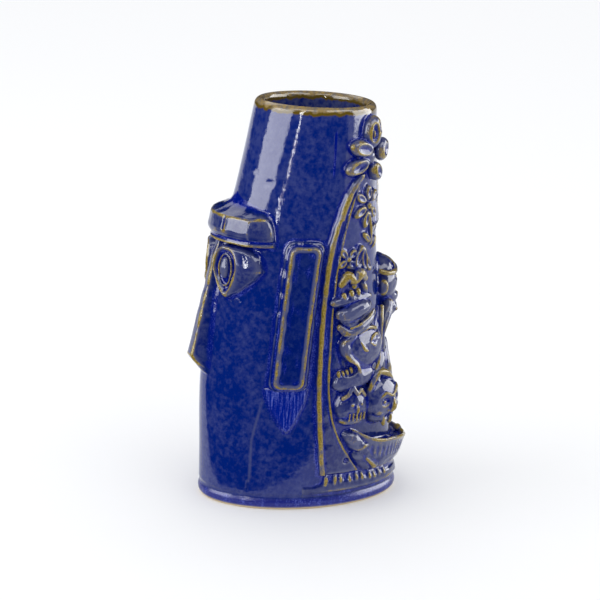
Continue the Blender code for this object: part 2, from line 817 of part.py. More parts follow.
def make_bowl():
    """A boat-shaped bowl across the back: raised ends, a fluted hull, the drink below its rim."""
    rings = []
    count = 25
    for i in range(count):
        turn = BOWL_ENDS + (180.0 - 2 * BOWL_ENDS) * i / (count - 1)
        share = bowl_share(turn)
        out = 0.0010 + (BOWL_OUT - 0.0010) * share
        rim = BOWL_RIM + 0.0115 * (1 - share) ** 1.2
        keel = BOWL_KEEL + (rim - 0.0030 - BOWL_KEEL) * (1 - share) ** 0.9
        deep = rim - keel
        flute = 0.0004 if i % 2 else 0.0
        section = (
            (-ROOT, rim - min(0.0022, deep * 0.5)),
            (max(out - 0.0022, -ROOT * 0.5), rim - min(0.0022, deep * 0.5)),
            (out - 0.0014, rim),
            (out, rim - 0.0003),
            (out, rim - 0.0016),
            (out - 0.0007 - flute, rim - deep * 0.30 - 0.0006),
            (out * 0.72 - flute, rim - deep * 0.62),
            (out * 0.40, rim - deep * 0.88),
            (out * 0.34, keel),
            (-ROOT, keel - 0.0004),
        )
        rings.append([at(turn, z, o) for o, z in section])
    bowl = loft("bowl", rings)
    set_on_wall(bowl)
    return bowl


def make_bowl_knob():
    """A small upright knob on the bowl's rim."""
    knob = ball(90.0, BOWL_RIM + 0.0022, BOWL_OUT - 0.0008, 0.0028, 0.0036, 0.0021, 0, 12, 8)
    knob.name = "bowl_knob"
    return knob


def make_bowl_arm():
    """An arm that holds the bowl from below."""
    path = (
        (11.5, 0.0372, 0.0010, 0.8),
        (17.0, 0.0350, 0.0018),
        (23.0, 0.0300, 0.0022),
        (28.0, 0.0235, 0.0022),
        (34.0, 0.0185, 0.0014, 0.8),
    )
    arm = roll(path, 0.0030, sides=2)
    arm.name = "bowl_arm_left"
    set_on_wall(arm)
    return arm


def make_bowl_knee():
    """A bent knee below the arm."""
    solids = [ball(19.5, 0.0262, 0.0006, 0.0034, 0.0030, 0.0026, 30)]
    solids.append(roll(((19.5, 0.0262, 0.0006), (25.0, 0.0200, 0.0010), (30.0, 0.0160, 0.0006)), 0.0022))
    knee = joined("bowl_knee_left", solids)
    set_on_wall(knee)
    return knee


def make_reed_skirt():
    """A low skirt round the base of the relief, with upright reeds on it."""
    rings = []
    for i in range(12):
        turn = -4.0 + 93.5 * i / 11
        top = 0.0112 - 0.0022 * i / 11
        section = (
            (-ROOT, 0.0092),
            (0.0008, 0.0086),
            (0.0011, 0.0098),
            (0.0009, top),
            (-ROOT, top + 0.0010),
        )
        rings.append([at(turn, z, out) for out, z in section])
    solids = [loft("skirt", rings)]
    for i in range(7):
        turn = 0.5 + 5.2 * i
        solids.append(roll(((turn, 0.0090, 0.0008), (turn, 0.0152 - 0.0003 * i, 0.0003)), 0.0015))
    skirt = joined("reed_skirt_left", solids)
    set_on_wall(skirt)
    return skirt


# ---------------------------------------------------------------- finish and assembly


def glaze(name, colour):
    """A plain glossy glaze."""
    material = bpy.data.materials.new(name)
    material.use_nodes = True
    shader = material.node_tree.nodes["Principled BSDF"]
    shader.inputs["Base Color"].default_value = (*colour, 1.0)
    shader.inputs["Roughness"].default_value = GLAZE_ROUGHNESS
    shader.inputs["Metallic"].default_value = 0.0
    return material


# Linear colours: deep cobalt on the plain wall, and where the glaze thins over the reliefs.
COBALT = (0.012, 0.028, 0.260)
COBALT_ON_HEAD = (0.020, 0.032, 0.210)
COBALT_ON_RELIEF = (0.050, 0.055, 0.180)
GLAZE_ROUGHNESS = 0.10
HEAD_SPRIGS = ("brow_ledge", "nose", "eye_", "pupil_", "ear_")


def colour_of(name):
    """The glaze colour of a sub-part."""
    if name == "mug_body":
        return COBALT
    return COBALT_ON_HEAD if name.startswith(HEAD_SPRIGS) else COBALT_ON_RELIEF


def finish(obj):
    """Gives a sub-part its glaze, flat or smooth shading by angle, and its own place."""
    obj.data.materials.clear()
    obj.data.materials.append(glaze("glaze_" + obj.name, colour_of(obj.name)))
    obj.data.shade_smooth()
    obj.data.set_sharp_from_angle(angle=math.radians(40))
    corners = [Vector(c) for c in obj.bound_box]
    middle = sum(corners, Vector()) / 8
    obj.data.transform(Matrix.Translation(-middle))
    obj.location = middle + Vector((0, AXIS_Y, 0))


def clear_scene():
    for obj in list(bpy.data.objects):
        bpy.data.objects.remove(obj)


def new_collection(name):
    collection = bpy.data.collections.new(name)
    bpy.context.scene.collection.children.link(collection)
    return collection


def main():
    body = make_body()
    singles = {
        "brow": make_brow(),
        "nose": make_nose(),
        "head": make_figure_head(),
        "cap": make_figure_cap(),
        "torso": make_figure_torso(),
        "fan": make_leaf_fan(),
        "crest": make_crest(),
        "bowl": make_bowl(),
        "knob": make_bowl_knob(),
    }
    lefts = {
        "eye": make_eye(),
        "pupil": make_pupil(),
        "ear": make_ear(),
        "ear_drop": make_ear_drop(),
        "flower": make_flower(),
        "beam": make_beam(),
        "small_flower": make_small_flower(),
        "spray": make_leaf_spray(),
        "upper_mask": make_upper_mask(),
        "headband": make_headband(),
        "brow_bar": make_brow_bar(),
        "profile_mask": make_profile_mask(),
        "lower_mask": make_lower_mask(),
        "fang_mask": make_fang_mask(),
        "arm": make_figure_arm(),
        "leg": make_figure_leg(),
        "bowl_arm": make_bowl_arm(),
        "bowl_knee": make_bowl_knee(),
        "skirt": make_reed_skirt(),
    }
    every = {**singles, **lefts}
    # Which sprig gives way to which, where two would meet.
    for gives_way, stands in (
        ("cap", "head"),
        ("torso", "head"),
        ("beam", "flower"),
        ("small_flower", "flower"),
        ("knob", "bowl"),
        ("fan", "bowl"),
        ("leg", "torso"),
        ("arm", "torso"),
        ("arm", "leg"),
        ("bowl_arm", "bowl"),
        ("bowl_knee", "bowl"),
        ("bowl_knee", "bowl_arm"),
        ("fang_mask", "bowl"),
        ("lower_mask", "beam"),
        ("lower_mask", "bowl"),
        ("spray", "beam"),
        ("profile_mask", "beam"),
        ("profile_mask", "brow_bar"),
        ("brow_bar", "headband"),
        ("upper_mask", "headband"),
        ("upper_mask", "spray"),
        ("bowl_arm", "beam"),
        ("bowl_arm", "lower_mask"),
        ("bowl_knee", "beam"),
        ("nose", "brow"),
        ("eye", "nose"),
        ("fang_mask", "lower_mask"),
        ("headband", "beam"),
        ("brow_bar", "beam"),
        ("upper_mask", "beam"),
    ):
        clear_of(every[gives_way], every[stands])
    rights = [mirrored(obj, obj.name.replace("_left", "_right")) for obj in lefts.values()]
    for obj in [body, *every.values(), *rights]:
        finish(obj)


clear_scene()
parts = new_collection(NAME)
cutters = new_collection("cutters")
main()
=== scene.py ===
from collections import namedtuple
from math import atan, cos, pi, radians, sin

import bpy
import numpy as np
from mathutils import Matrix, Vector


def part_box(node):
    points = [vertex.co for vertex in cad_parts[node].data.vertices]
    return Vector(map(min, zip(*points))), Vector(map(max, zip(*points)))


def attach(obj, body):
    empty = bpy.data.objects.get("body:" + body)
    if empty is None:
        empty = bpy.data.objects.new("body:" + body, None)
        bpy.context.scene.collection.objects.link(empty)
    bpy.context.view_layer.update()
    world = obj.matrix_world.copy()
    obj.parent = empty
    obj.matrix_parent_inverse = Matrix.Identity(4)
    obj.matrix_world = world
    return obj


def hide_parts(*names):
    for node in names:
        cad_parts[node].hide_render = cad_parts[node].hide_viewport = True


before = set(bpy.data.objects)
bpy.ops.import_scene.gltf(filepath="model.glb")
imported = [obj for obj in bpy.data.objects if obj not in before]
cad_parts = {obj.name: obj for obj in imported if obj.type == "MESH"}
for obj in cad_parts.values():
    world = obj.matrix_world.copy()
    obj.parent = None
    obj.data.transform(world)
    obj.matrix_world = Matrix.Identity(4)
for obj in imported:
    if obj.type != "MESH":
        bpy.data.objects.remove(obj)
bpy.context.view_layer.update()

import openvdb
from mathutils import Matrix, Vector

# ---------------- sizes, in millimetres

MM = 0.001
body_low, body_high = (np.array(corner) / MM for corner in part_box("mug_body"))
HEIGHT = float(body_high[2] - body_low[2])
# The oval wall: height, half width (X), depth of the front (-Y), depth of the back (+Y).
STATIONS = (
    (0.0, 32.0, 50.4, 49.5),
    (20.0, 31.6, 50.8, 46.5),
    (56.0, 30.9, 51.8, 39.8),
    (90.0, 30.3, 49.2, 34.6),
    (125.0, 29.6, 43.7, 30.7),
    (150.0, 29.1, 37.2, 28.4),
    (190.0, 28.3, 29.3, 26.8),
)
WALL = 4.5
FLOOR_TOP = 7.0
LIP_HEIGHT = 3.0
VOXEL = 0.4
FILLET = 1.6
# A piece lies a little below the wall's skin, ends inside the wall, reaches so far from its own
# sprig, and laps a little over its neighbours.
SINK = 0.10
BACK_DEPTH = 1.2
REACH = 2.2
OVERLAP = 0.15
FAR = 20.0


def table(stations, column):
    """A smooth curve through one column of the stations, as a function of an array of heights."""
    z, value = np.array(stations, float)[:, [0, column]].T
    before = np.maximum(np.arange(len(z)) - 1, 0)
    beyond = np.minimum(np.arange(len(z)) + 1, len(z) - 1)
    slope = (value[beyond] - value[before]) / (z[beyond] - z[before])
    heights = np.arange(z[0], z[-1] + 0.01, 0.25)
    i = np.clip(np.searchsorted(z, heights) - 1, 0, len(z) - 2)
    span = z[i + 1] - z[i]
    f = (np.minimum(heights, z[-1]) - z[i]) / span
    values = (
        (2 * f**3 - 3 * f**2 + 1) * value[i]
        + (f**3 - 2 * f**2 + f) * span * slope[i]
        + (3 * f**2 - 2 * f**3) * value[i + 1]
        + (f**3 - f**2) * span * slope[i + 1]
    )
    return lambda level: np.interp(level, heights, values)


half_at = table(STATIONS, 1)
front_at = table(STATIONS, 2)
back_at = table(STATIONS, 3)
AXIS_Y = float(body_low[1] + front_at(np.arange(0, HEIGHT)).max())


def at(turn, z, out=0.0):
    """The point `out` off the wall, at a turn in degrees from +X towards +Y, and a height."""
    angle = radians(turn)
    half = float(half_at(z))
    depth = float(back_at(z) if sin(angle) >= 0 else front_at(z))
    normal = np.array((cos(angle) / half, sin(angle) / depth, 0.0))
    normal /= np.linalg.norm(normal)
    return np.array((half * cos(angle), depth * sin(angle), z)) + normal * out


def local_axes(turn, z):
    """Along the wall towards +Y, up, and out."""
    out = at(turn, z, 1.0) - at(turn, z)
    return np.array((-out[1], out[0], 0.0)), np.array((0.0, 0.0, 1.0)), out


# ---------------- the field over one half of the mug

LOW = np.array((0.0, -60.8, -2.4))
HIGH = np.array((38.4, 58.4, 194.4))
COUNTS = np.round((HIGH - LOW) / VOXEL).astype(int) + 1
AXES = [(LOW[i] + VOXEL * np.arange(COUNTS[i])).astype(np.float32) for i in range(3)]


def wall_field():
    """How far each point of the field is off the wall, and at which turn."""
    x = AXES[0][:, None, None]
    y = AXES[1][None, :, None]
    z = np.clip(AXES[2], 0, HEIGHT)
    half = half_at(z).astype(np.float32)[None, None, :]
    front = front_at(z).astype(np.float32)[None, None, :]
    back = back_at(z).astype(np.float32)[None, None, :]
    depth = np.where(y < 0, front, back)
    px, py = x, y
    for _ in range(2):
        share = np.maximum(np.sqrt((px / half) ** 2 + (py / depth) ** 2), 0.2)
        foot_x = px / share
        foot_y = py / share
        nx = foot_x / half**2
        ny = foot_y / depth**2
        length = np.sqrt(nx**2 + ny**2)
        nx = nx / length
        ny = ny / length
        off = (x - foot_x) * nx + (y - foot_y) * ny
        px = x - nx * off
        py = y - ny * off
    return off, np.degrees(np.arctan2(foot_y / depth, foot_x / half))


OFF, TURN = wall_field()


class Block:
    """A box of the field, with its coordinates, its distance off the wall and its turn."""

    def __init__(self, low, high, margin=3.0):
        start = np.floor((np.array(low) - margin - LOW) / VOXEL).astype(int)
        stop = np.ceil((np.array(high) + margin - LOW) / VOXEL).astype(int) + 1
        self.start = np.clip(start, 0, COUNTS - 2)
        stop = np.clip(stop, self.start + 2, COUNTS)
        self.slices = tuple(slice(a, b) for a, b in zip(self.start, stop))
        self.x = AXES[0][self.slices[0]][:, None, None]
        self.y = AXES[1][self.slices[1]][None, :, None]
        self.z = AXES[2][self.slices[2]][None, None, :]
        self.off = OFF[self.slices]
        self.turn = TURN[self.slices]


Shape = namedtuple("Shape", "distance low high")


def soft_min(a, b, k):
    h = np.clip(0.5 + 0.5 * (b - a) / k, 0, 1)
    return b * (1 - h) + a * h - k * h * (1 - h)


def soft_max(a, b, k):
    return -soft_min(-a, -b, k)


def clay(part):
    """A shape as it is, a ball from its row of numbers, or a roll from its radius and points."""
    if isinstance(part, Shape):
        return part
    return roll(part[1:], part[0]) if isinstance(part[1], tuple) else ball(*part)


def union(parts, k):
    """Clay pieces pressed together, the joints smoothed over k."""
    shapes = [clay(part) for part in parts]

    def distance(block):
        total = shapes[0].distance(block)
        for shape in shapes[1:]:
            total = soft_min(total, shape.distance(block), k)
        return total

    return Shape(distance, np.min([s.low for s in shapes], 0), np.max([s.high for s in shapes], 0))


def carved(shape, cuts, k=0.5):
    """The shape with the cuts pressed out of it."""
    cuts = [clay(part) for part in cuts]

    def distance(block):
        total = shape.distance(block)
        for cut in cuts:
            total = soft_max(total, -cut.distance(block), k)
        return total

    return Shape(distance, shape.low, shape.high)


def ball(turn, z, out, along, up, deep, lean=0.0):
    """An ellipsoid on the wall: half sizes along the wall, up and out, leaning in the wall's plane."""
    u, v, n = local_axes(turn, z)
    angle = radians(lean)
    rows = (
        (u * cos(angle) + v * sin(angle)) / along,
        (v * cos(angle) - u * sin(angle)) / up,
        n / deep,
    )
    sizes = (along, up, deep)
    centre = at(turn, z, out)
    reach = max(sizes)

    def distance(block):
        dx, dy, dz = block.x - centre[0], block.y - centre[1], block.z - centre[2]
        parts = [dx * float(r[0]) + dy * float(r[1]) + dz * float(r[2]) for r in rows]
        size = np.sqrt(sum(p**2 for p in parts))
        slope = np.sqrt(sum((p / s) ** 2 for p, s in zip(parts, sizes)))
        return size * (size - 1) / np.maximum(slope, 0.001)

    return Shape(distance, centre - reach, centre + reach)


def smooth_path(points, steps):
    """Points (turn, z, out, radius) on a smooth curve through the given ones."""
    rows = [np.array(p, float) for p in points]
    rows = [2 * rows[0] - rows[1], *rows, 2 * rows[-1] - rows[-2]]
    path = []
    for i in range(1, len(rows) - 2):
        a, b, c, d = rows[i - 1 : i + 3]
        for f in np.arange(steps) / steps:
            bend = 2 * a - 5 * b + 4 * c - d + f * (3 * (b - c) + d - a)
            path.append(b + 0.5 * f * (c - a + f * bend))
    path.append(rows[-2])
    return path


def tube(places, radii):
    """A round tube through places, with its radius at each."""

    def distance(block):
        total = np.inf
        for a, b, ra, rb in zip(places, places[1:], radii, radii[1:]):
            step = b - a
            span = float(step @ step) + 1e-6
            dx, dy, dz = block.x - a[0], block.y - a[1], block.z - a[2]
            f = np.clip((dx * step[0] + dy * step[1] + dz * step[2]) / span, 0, 1)
            gap = (dx - f * step[0]) ** 2 + (dy - f * step[1]) ** 2 + (dz - f * step[2]) ** 2
            total = np.minimum(total, np.sqrt(gap) - (ra + (rb - ra) * f))
        return total.astype(np.float32)

    return Shape(distance, np.min(places, 0) - max(radii), np.max(places, 0) + max(radii))


def roll(points, radius, steps=4):
    """A roll of clay along (turn, height, out) points; a fourth number scales its radius."""
    rows = [(*p[:3], radius * (p[3] if len(p) > 3 else 1.0)) for p in points]
    path = smooth_path(rows, steps)
    return tube([at(*p[:3]) for p in path], [float(p[3]) for p in path])


def lofted(rings):
    """A closed skin over rings of the same number of points, as a distance field."""
    points = np.array([p for r in rings for p in r], np.float32)
    count = len(rings[0])
    faces = []
    for i in range(0, len(points) - count, count):
        for j in range(count):
            a, b = i + j, i + (j + 1) % count
            faces += [(a, b, b + count), (a, b + count, a + count)]
    for first, ends in ((0, rings[0]), (len(points) - count, rings[-1])):
        middle = len(points)
        points = np.vstack((points, np.mean(ends, axis=0, dtype=float)[None].astype(np.float32)))
        faces += [(middle, first + j, first + (j + 1) % count) for j in range(count)]
    low, high = points.min(0), points.max(0)
    grid_points = ((points - LOW) / VOXEL).astype(np.float32)

    def distance(block):
        level = openvdb.FloatGrid.createLevelSetFromPolygons(
            grid_points, triangles=np.array(faces, np.uint32), halfWidth=14.0
        )
        values = np.zeros([s.stop - s.start for s in block.slices], np.float32)
        level.copyToArray(values, ijk=tuple(int(i) for i in block.start))
        return values * VOXEL

    return Shape(distance, low, high)


def wallwise(distance, turns, heights, out):
    """A shape given by its own function of the block, between two turns and two heights."""
    places = [(t, z) for t in np.linspace(*turns, 9) for z in np.linspace(*heights, 5)]
    corners = [at(t, z, o) for t, z in places for o in (-2.0, out)]
    return Shape(distance, np.min(corners, 0), np.max(corners, 0))


def arc(turn, z):
    """Millimetres along the wall for each degree of turn."""
    angle = np.radians(turn)
    depth = np.where(turn >= 0, back_at(z), front_at(z))
    return np.sqrt((half_at(z) * np.sin(angle)) ** 2 + (depth * np.cos(angle)) ** 2) * pi / 180


# ---------------- the head on the front

BROW_LOW = 125.6
# The end of the brow past its front: X, Y, and how steeply it rises towards the back.
BROW_END = (
    (23, -37.9, 0.03), (24, -35.6, 0.08), (24.8, -33.4, 0.13), (25.2, -31.4, 0.18),
    (25.2, -29.6, 0.22), (24.5, -28, 0.24), (22.8, -26.8, 0.25), (20, -26.2, 0.25),
)
# The brow from its underside up: height, and how far its outline draws in.
BROW_LEVELS = (
    (0, 3), (0.5, 1.5), (1.2, 1.1), (1.9, 1.6), (2.8, 1.9), (3.8, 0.9), (5.2, 0.2), (6.6, 0), (12.4, 1.1),
    (13.3, 1.5), (14, 2.7), (15.4, 6), (17.2, 9.4), (19.4, 12), (21.6, 13.6),
)
# The nose from its tip up: height, depth of the ridge, half width of the ridge and of the root.
NOSE_LEVELS = (
    (62.5, 52.5, 4, 6.8), (68.5, 57.6, 3.7, 7.2), (70.5, 58.8, 3.4, 7.1), (79.6, 56.8, 3.1, 6.6),
    (91.6, 54.5, 2.8, 6), (103.5, 51.8, 2.6, 5.5), (115, 49.7, 2.4, 5.2), (126.5, 46.6, 2.4, 5),
)
EYE_TURN, EYE_HEIGHT, EYE_SHIFT, EYE_OUT = -66.0, 114.5, -4.0, 5.0
# The eye from the wall out: how far out, then its size to the left, right, down and up from the brow.
EYE_LEVELS = (
    (-8, 7.4, 18.6, 14.6, 0), (-2.8, 7.4, 18.4, 14.5, 0), (-0.6, 7.4, 18, 14.4, 0), (0.8, 7.4, 17.2, 14.2, 0),
    (1.9, 7.4, 16, 14, 0.1), (3, 7.3, 14, 13.8, 0.2), (4.1, 7.2, 11.2, 13.4, 0.4), (5, 6.8, 8.2, 12.8, 0.9),
    (5.1, 6.1, 7.2, 11.6, 1.8), (3.4, 5.2, 6.2, 10.2, 2.8), (2.6, 4.6, 5.6, 9.2, 3.6),
)
EAR_TURN_LOW, EAR_TURN_HIGH = -22.3, -18.4
EAR_LOW, EAR_HIGH, EAR_HALF_WIDTH = 58.6, 129.4, 9.0
# The ear from the wall out: how far out, how far its outline draws in, and its corner's radius.
EAR_LEVELS = (
    (-4.5, 0, 4.4), (0.5, 0, 4.4), (1.1, 0.5, 4.2), (1.3, 1.1, 4), (1.7, 1.45, 3.8), (3.5, 1.8, 3.6),
    (4.3, 2.2, 3.4), (4.6, 2.8, 3), (4.4, 3.6, 2.6), (3.9, 4.8, 2), (3.6, 6.4, 1.6),
)
DROP_HEIGHTS = (-20.6, -19.4, -15.8, -11.1, -6.6, 0)
DROP_HALF_WIDTHS = (0, 1.6, 3.6, 6, 8.2, 9.6)


def finely(points, steps):
    """Straight runs between points, cut into steps."""
    rows = [np.array(p, float) for p in points]
    fine = [a + (b - a) * k / steps for a, b in zip(rows, rows[1:]) for k in range(steps)]
    return fine + [rows[-1]]


def brow():
    """A heavy ledge: a thin lower lip, a flat front with one corner at each side, a sloping top."""
    half = [(x, -50.5 + 10.3 * (x / 21.8) ** 1.9, 0) for x in np.linspace(0, 21.8, 13)] + list(BROW_END)
    outline = np.array(half + [(-x, y, up) for x, y, up in reversed(half[1:])])
    lift = outline[:, 2]
    outline = outline[:, :2]
    smooth = outline.copy()
    for _ in range(24):
        smooth[1:-1] = 0.5 * smooth[1:-1] + 0.25 * (smooth[:-2] + smooth[2:])
    rings = []
    for rise, inset in finely(BROW_LEVELS, 3):
        share = min(max((rise - 12.8) / 3, 0), 1)
        line = outline * (1 - share) + smooth * share
        line = line - line / np.linalg.norm(line, axis=1)[:, None] * inset
        heights = BROW_LOW + rise + max(rise - 4, 0) * lift
        rings.append([(*p, z) for p, z in zip(line, heights)])
    notch = lofted([[(9.2, -50.6, z), (10.4, -50.2, z), (9.8, -46.6, z)] for z in (132.5, 140.5)])
    body = carved(lofted(rings), [notch])

    def distance(block):
        bevel = 0.55 * (block.x - 23.5) + 0.50 * (block.y + 30) + 0.67 * (block.z - 138)
        return soft_max(body.distance(block), bevel, 3)

    return Shape(distance, body.low, body.high)


def nose():
    """A long wedge: a blunt ridge that leans out down to the tip, and an undercut below it."""
    rings = []
    for z, ridge, half_ridge, half_root in NOSE_LEVELS:
        side = [
            (half_root, 3 - float(front_at(z)), z), (half_ridge, 0.5 - ridge, z), (half_ridge - 0.9, -ridge, z),
        ]
        rings.append(side + [(-x, y, z) for x, y, z in reversed(side)])
    return lofted(rings)


def teardrop(left, right, low, high, count=48):
    """Points of a shield that hangs to a point at the bottom, full on its right, as (along, up)."""
    points = []
    for angle in 2 * pi * np.arange(count) / count:
        across, up = cos(angle), sin(angle)
        pinch = 1 if up > 0 else (1 + up) ** 0.42
        full = right * across**0.6 if across > 0 else left * across
        points.append((full * pinch + 1.6 * min(up, 0) ** 2, (high if up > 0 else low) * up))
    return points


def on_eye(along, up, out):
    """A point on the frame that the eye is set out on, which falls back to the nose and the brow."""
    u, v, n = local_axes(EYE_TURN, EYE_HEIGHT)
    out -= 0.34 * max(-along - 1.5, 0) + 0.10 * max(up, 0)
    return at(EYE_TURN, EYE_HEIGHT) + u * (along + EYE_SHIFT) + v * up + n * out


def eye_oval(across, up, out, middle, count=25, closed=True):
    """Points of an oval on the eye's frame."""
    angles = np.linspace(0, 2 * pi, count, endpoint=closed)
    return [on_eye(middle[0] + across * cos(a), middle[1] + up * sin(a), out) for a in angles]


def eye():
    """A domed lobe, and at its front a raised rim round a sunk face with an oval ring in it."""
    top = BROW_LOW - 0.3 - EYE_HEIGHT
    lobe = lofted([
        [on_eye(along, up, out) for along, up in teardrop(left, right, low, top - drop)]
        for out, left, right, low, drop in EYE_LEVELS
    ])
    ring = eye_oval(3.7, 7.4, EYE_OUT - 1.9, (0.5, -1))
    return union([lobe, tube(ring, [0.62] * len(ring))], 0.6)


def pupil():
    """A low oval boss on the sunk front of the eye."""
    levels = ((1, 4), (1, 1.4), (0.9, 0.6), (0.66, 0.15), (0.3, 0))
    return lofted([eye_oval(2.4 * s, 5.2 * s, EYE_OUT - sunk, (0.7, 0.2), 24, False) for s, sunk in levels])


def on_ear(along, z, out):
    """A point on the ear's frame, which follows one turn of the wall."""
    u, _, n = local_axes(EAR_TURN_LOW, EAR_LOW)
    turn = EAR_TURN_LOW + (EAR_TURN_HIGH - EAR_TURN_LOW) * (z - EAR_LOW) / (EAR_HIGH - EAR_LOW)
    return at(turn, z) + u * along + n * out


def rounded_slab(half_width, low, high, corner, steps=7):
    """A rectangle with round corners, its sides cut finely, as (along, height)."""
    points = []
    side = half_width - corner
    for a, z, start in (
        (side, high - corner, 0), (-side, high - corner, 90),
        (-side, low + corner, 180), (side, low + corner, 270),
    ):
        for angle in np.radians(start + 90 * np.arange(steps) / (steps - 1)):
            points.append((a + corner * cos(angle), z + corner * sin(angle)))
        if start in (90, 270):
            last, run = points[-1], (high - low - 2 * corner) * (-1 if start == 90 else 1)
            points += [(last[0], last[1] + run * k / 12) for k in range(1, 12)]
    return points


def ear():
    """A long slab on a low step, with a raised border round its sunk face."""
    rings = []
    for out, inset, corner in EAR_LEVELS:
        slab = rounded_slab(EAR_HALF_WIDTH - inset, EAR_LOW + inset, EAR_HIGH - inset, corner)
        rings.append([on_ear(along, z, out) for along, z in slab])
    return lofted(rings)


def ear_drop():
    """The glaze that ran below the ear: a pointed apron of fine upright strands."""
    top = EAR_LOW + 1
    tip = top + DROP_HEIGHTS[0]

    def distance(block):
        across = (block.turn - EAR_TURN_LOW) * 0.85 + 0.05 * (block.z - tip) - 0.4
        half = np.interp(block.z - top, DROP_HEIGHTS, DROP_HALF_WIDTHS).astype(np.float32)
        strands = 0.16 * np.cos(across * 3.9 + 0.5 * np.sin(block.z * 0.6))
        level = 0.85 + strands * np.clip((half - np.abs(across)) / 2, 0, 1)
        side = (np.abs(across) - half) * 0.85
        return soft_max(np.maximum(side, np.maximum(tip - block.z, block.z - top)), block.off - level, 0.8)

    return wallwise(distance, (EAR_TURN_LOW - 12, EAR_TURN_LOW + 12), (tip, top), 1.5)


# ---------------- the arch, the bowl and the skirt

BEAM_LOW, BEAM_HIGH = 17.2, 160.0
# The arch's side: height, then the turns of its outer and inner edge.
BEAM_EDGES = (
    (BEAM_LOW, -3, 22), (24, -4, 16), (34.5, -5, 8.6), (45, -6, 3.6), (60, -7, 0.6), (84, -7.2, 0.6),
    (103, -6.8, 1.4), (119, -5.6, 4.2), (131, -3.4, 8.5), (142, 1.6, 14), (152, 9.4, 21), (BEAM_HIGH, 21, 29),
)
BOWL_ENDS, BOWL_OUT, BOWL_RIM, BOWL_KEEL, BOWL_DIP = 17.0, 7.7, 33.0, 16.5, 6.8


def beam():
    """One side of a pointed arch: a thick outer bead, a channel and a thin inner edge."""
    outer_at, inner_at = table(BEAM_EDGES, 1), table(BEAM_EDGES, 2)

    def distance(block):
        z = block.z
        outer, inner = outer_at(z), inner_at(z)
        scale = arc(outer, z)
        slope = (outer_at(z + 1) - outer_at(z - 1)) / 2 * scale
        scale = (scale / np.sqrt(1 + slope**2)).astype(np.float32)
        width = ((inner - outer) * scale).astype(np.float32)
        u = (block.turn - outer.astype(np.float32)) * scale
        off = block.off
        thick = 1.3 + 0.4 * np.clip((z - 95) / 45, 0, 1)
        bead = np.sqrt((u - thick) ** 2 + (off - 2.75 + thick) ** 2) - thick
        edge = np.sqrt((u - width + 0.75) ** 2 + (off - 1.05) ** 2) - 0.72
        base = np.maximum(np.abs(u - width / 2) - width / 2, off - 0.9 - 0.5 * np.clip((32 - z) / 10, 0, 1))
        total = soft_min(soft_min(bead, base, 0.5), edge, 0.5)
        return soft_max(total, np.maximum(BEAM_LOW - z, z - BEAM_HIGH) + 0 * u, 0.6)

    eyelet = (13.4, 23.2, 1.6, 1.5, 1.4, 3)
    return carved(wallwise(distance, (-9, 32), (BEAM_LOW, BEAM_HIGH), 3.2), [eyelet], 0.2)


def bowl():
    """A boat-shaped bowl across the back: raised ends, a fluted hull, the drink below its rim."""
    rings = []
    for turn in np.linspace(BOWL_ENDS, 180 - BOWL_ENDS, 121):
        share = sin(min(max((90 - abs(turn - 90) - BOWL_ENDS) / 26, 0), 1) * pi / 2)
        out = 2.6 + (BOWL_OUT - 2.6) * share
        rim = BOWL_RIM + 6.5 * (1 - share) ** 1.3 - BOWL_DIP * sin(radians(turn)) ** 5
        keel = BOWL_KEEL + (rim - 6 - BOWL_KEEL) * (1 - share) ** 1.1
        deep = rim - keel
        flute = 0.28 * (1 - cos(turn * pi / 2)) * min(share * 1.5, 1)
        drink = rim - min(2.4, deep * 0.5)
        section = (
            (-3, drink), (max(out - 2.6, -1.5), drink), (out - 1.6, rim - 0.4), (out - 0.9, rim),
            (out - 0.1, rim - 0.3), (out, rim - 1.2), (out - 0.6, rim - 2.2),
            (out * 0.90 - 0.5 - flute, rim - deep * 0.34), (out * 0.72 - 0.2 - flute, rim - deep * 0.58),
            (out * 0.60, rim - deep * 0.68), (out * 0.58, rim - deep * 0.74), (out * 0.46, rim - deep * 0.86),
            (out * 0.34, keel), (-3, keel - 0.4),
        )
        rings.append([at(turn, z, o) for o, z in section])
    return lofted(rings)


def reed_skirt():
    """A low skirt round the base of the relief, with upright reeds on it."""

    def band(block):
        fade = block.turn + 6
        top = 10.4 + 3 * np.clip(fade / 10, 0, 1) - 2 * np.clip((block.turn + 4) / 94, 0, 1)
        slope = (1.5 - 0.12 * (block.z - 8.4)) * np.clip(fade / 14, 0, 1) - 0.2
        return soft_max(np.maximum(8.4 - block.z, block.z - top) * 0.9, block.off - slope, 0.9)

    parts = [wallwise(band, (-8, 89), (8.4, 14), 1.6)]
    for k in range(10):
        turn = 0.8 + 5 * k + 0.8 * sin(2.3 * k)
        tall = 15.9 - 0.3 * k + 0.5 * sin(1.7 * k)
        parts.append((0.95, (turn, 12.2, 0.2), (turn + 0.2, tall - 1.4, 0.7, 1.1), (turn, tall, 0.3, 0.8)))
    return union(parts, 1.1)


# ---------------- the pieces of the relief


def petal(turn, z, out, along, up, deep, lean, sunk=0.42):
    """A thick petal with a raised rim round a hollow."""
    hollow = ball(turn, z, out + deep * 0.95, along * 0.70, up * 0.56, deep * sunk, lean)
    return carved(ball(turn, z, out, along, up, deep, lean), [hollow], 0.6)


def petals(*rows):
    return [petal(*row) for row in rows]


def polar(turn, z, degrees, reach):
    """The turn and height at a reach and direction from a point on the wall."""
    angle = radians(degrees)
    return turn + reach * cos(angle) / float(arc(turn, z)), z + reach * sin(angle)


def fan_leaf(lean, size):
    """A pointed leaf with a vein, which leans from the root of the fan."""
    vein = (0.45, (*polar(90, 44, lean, 1), 3.8), (*polar(90, 44, lean, 13 * size), 3.2))
    return carved(ball(*polar(90, 44, lean, 6.8 * size), 1, 8.6 * size, 3, 3, lean), [vein], 0.3)


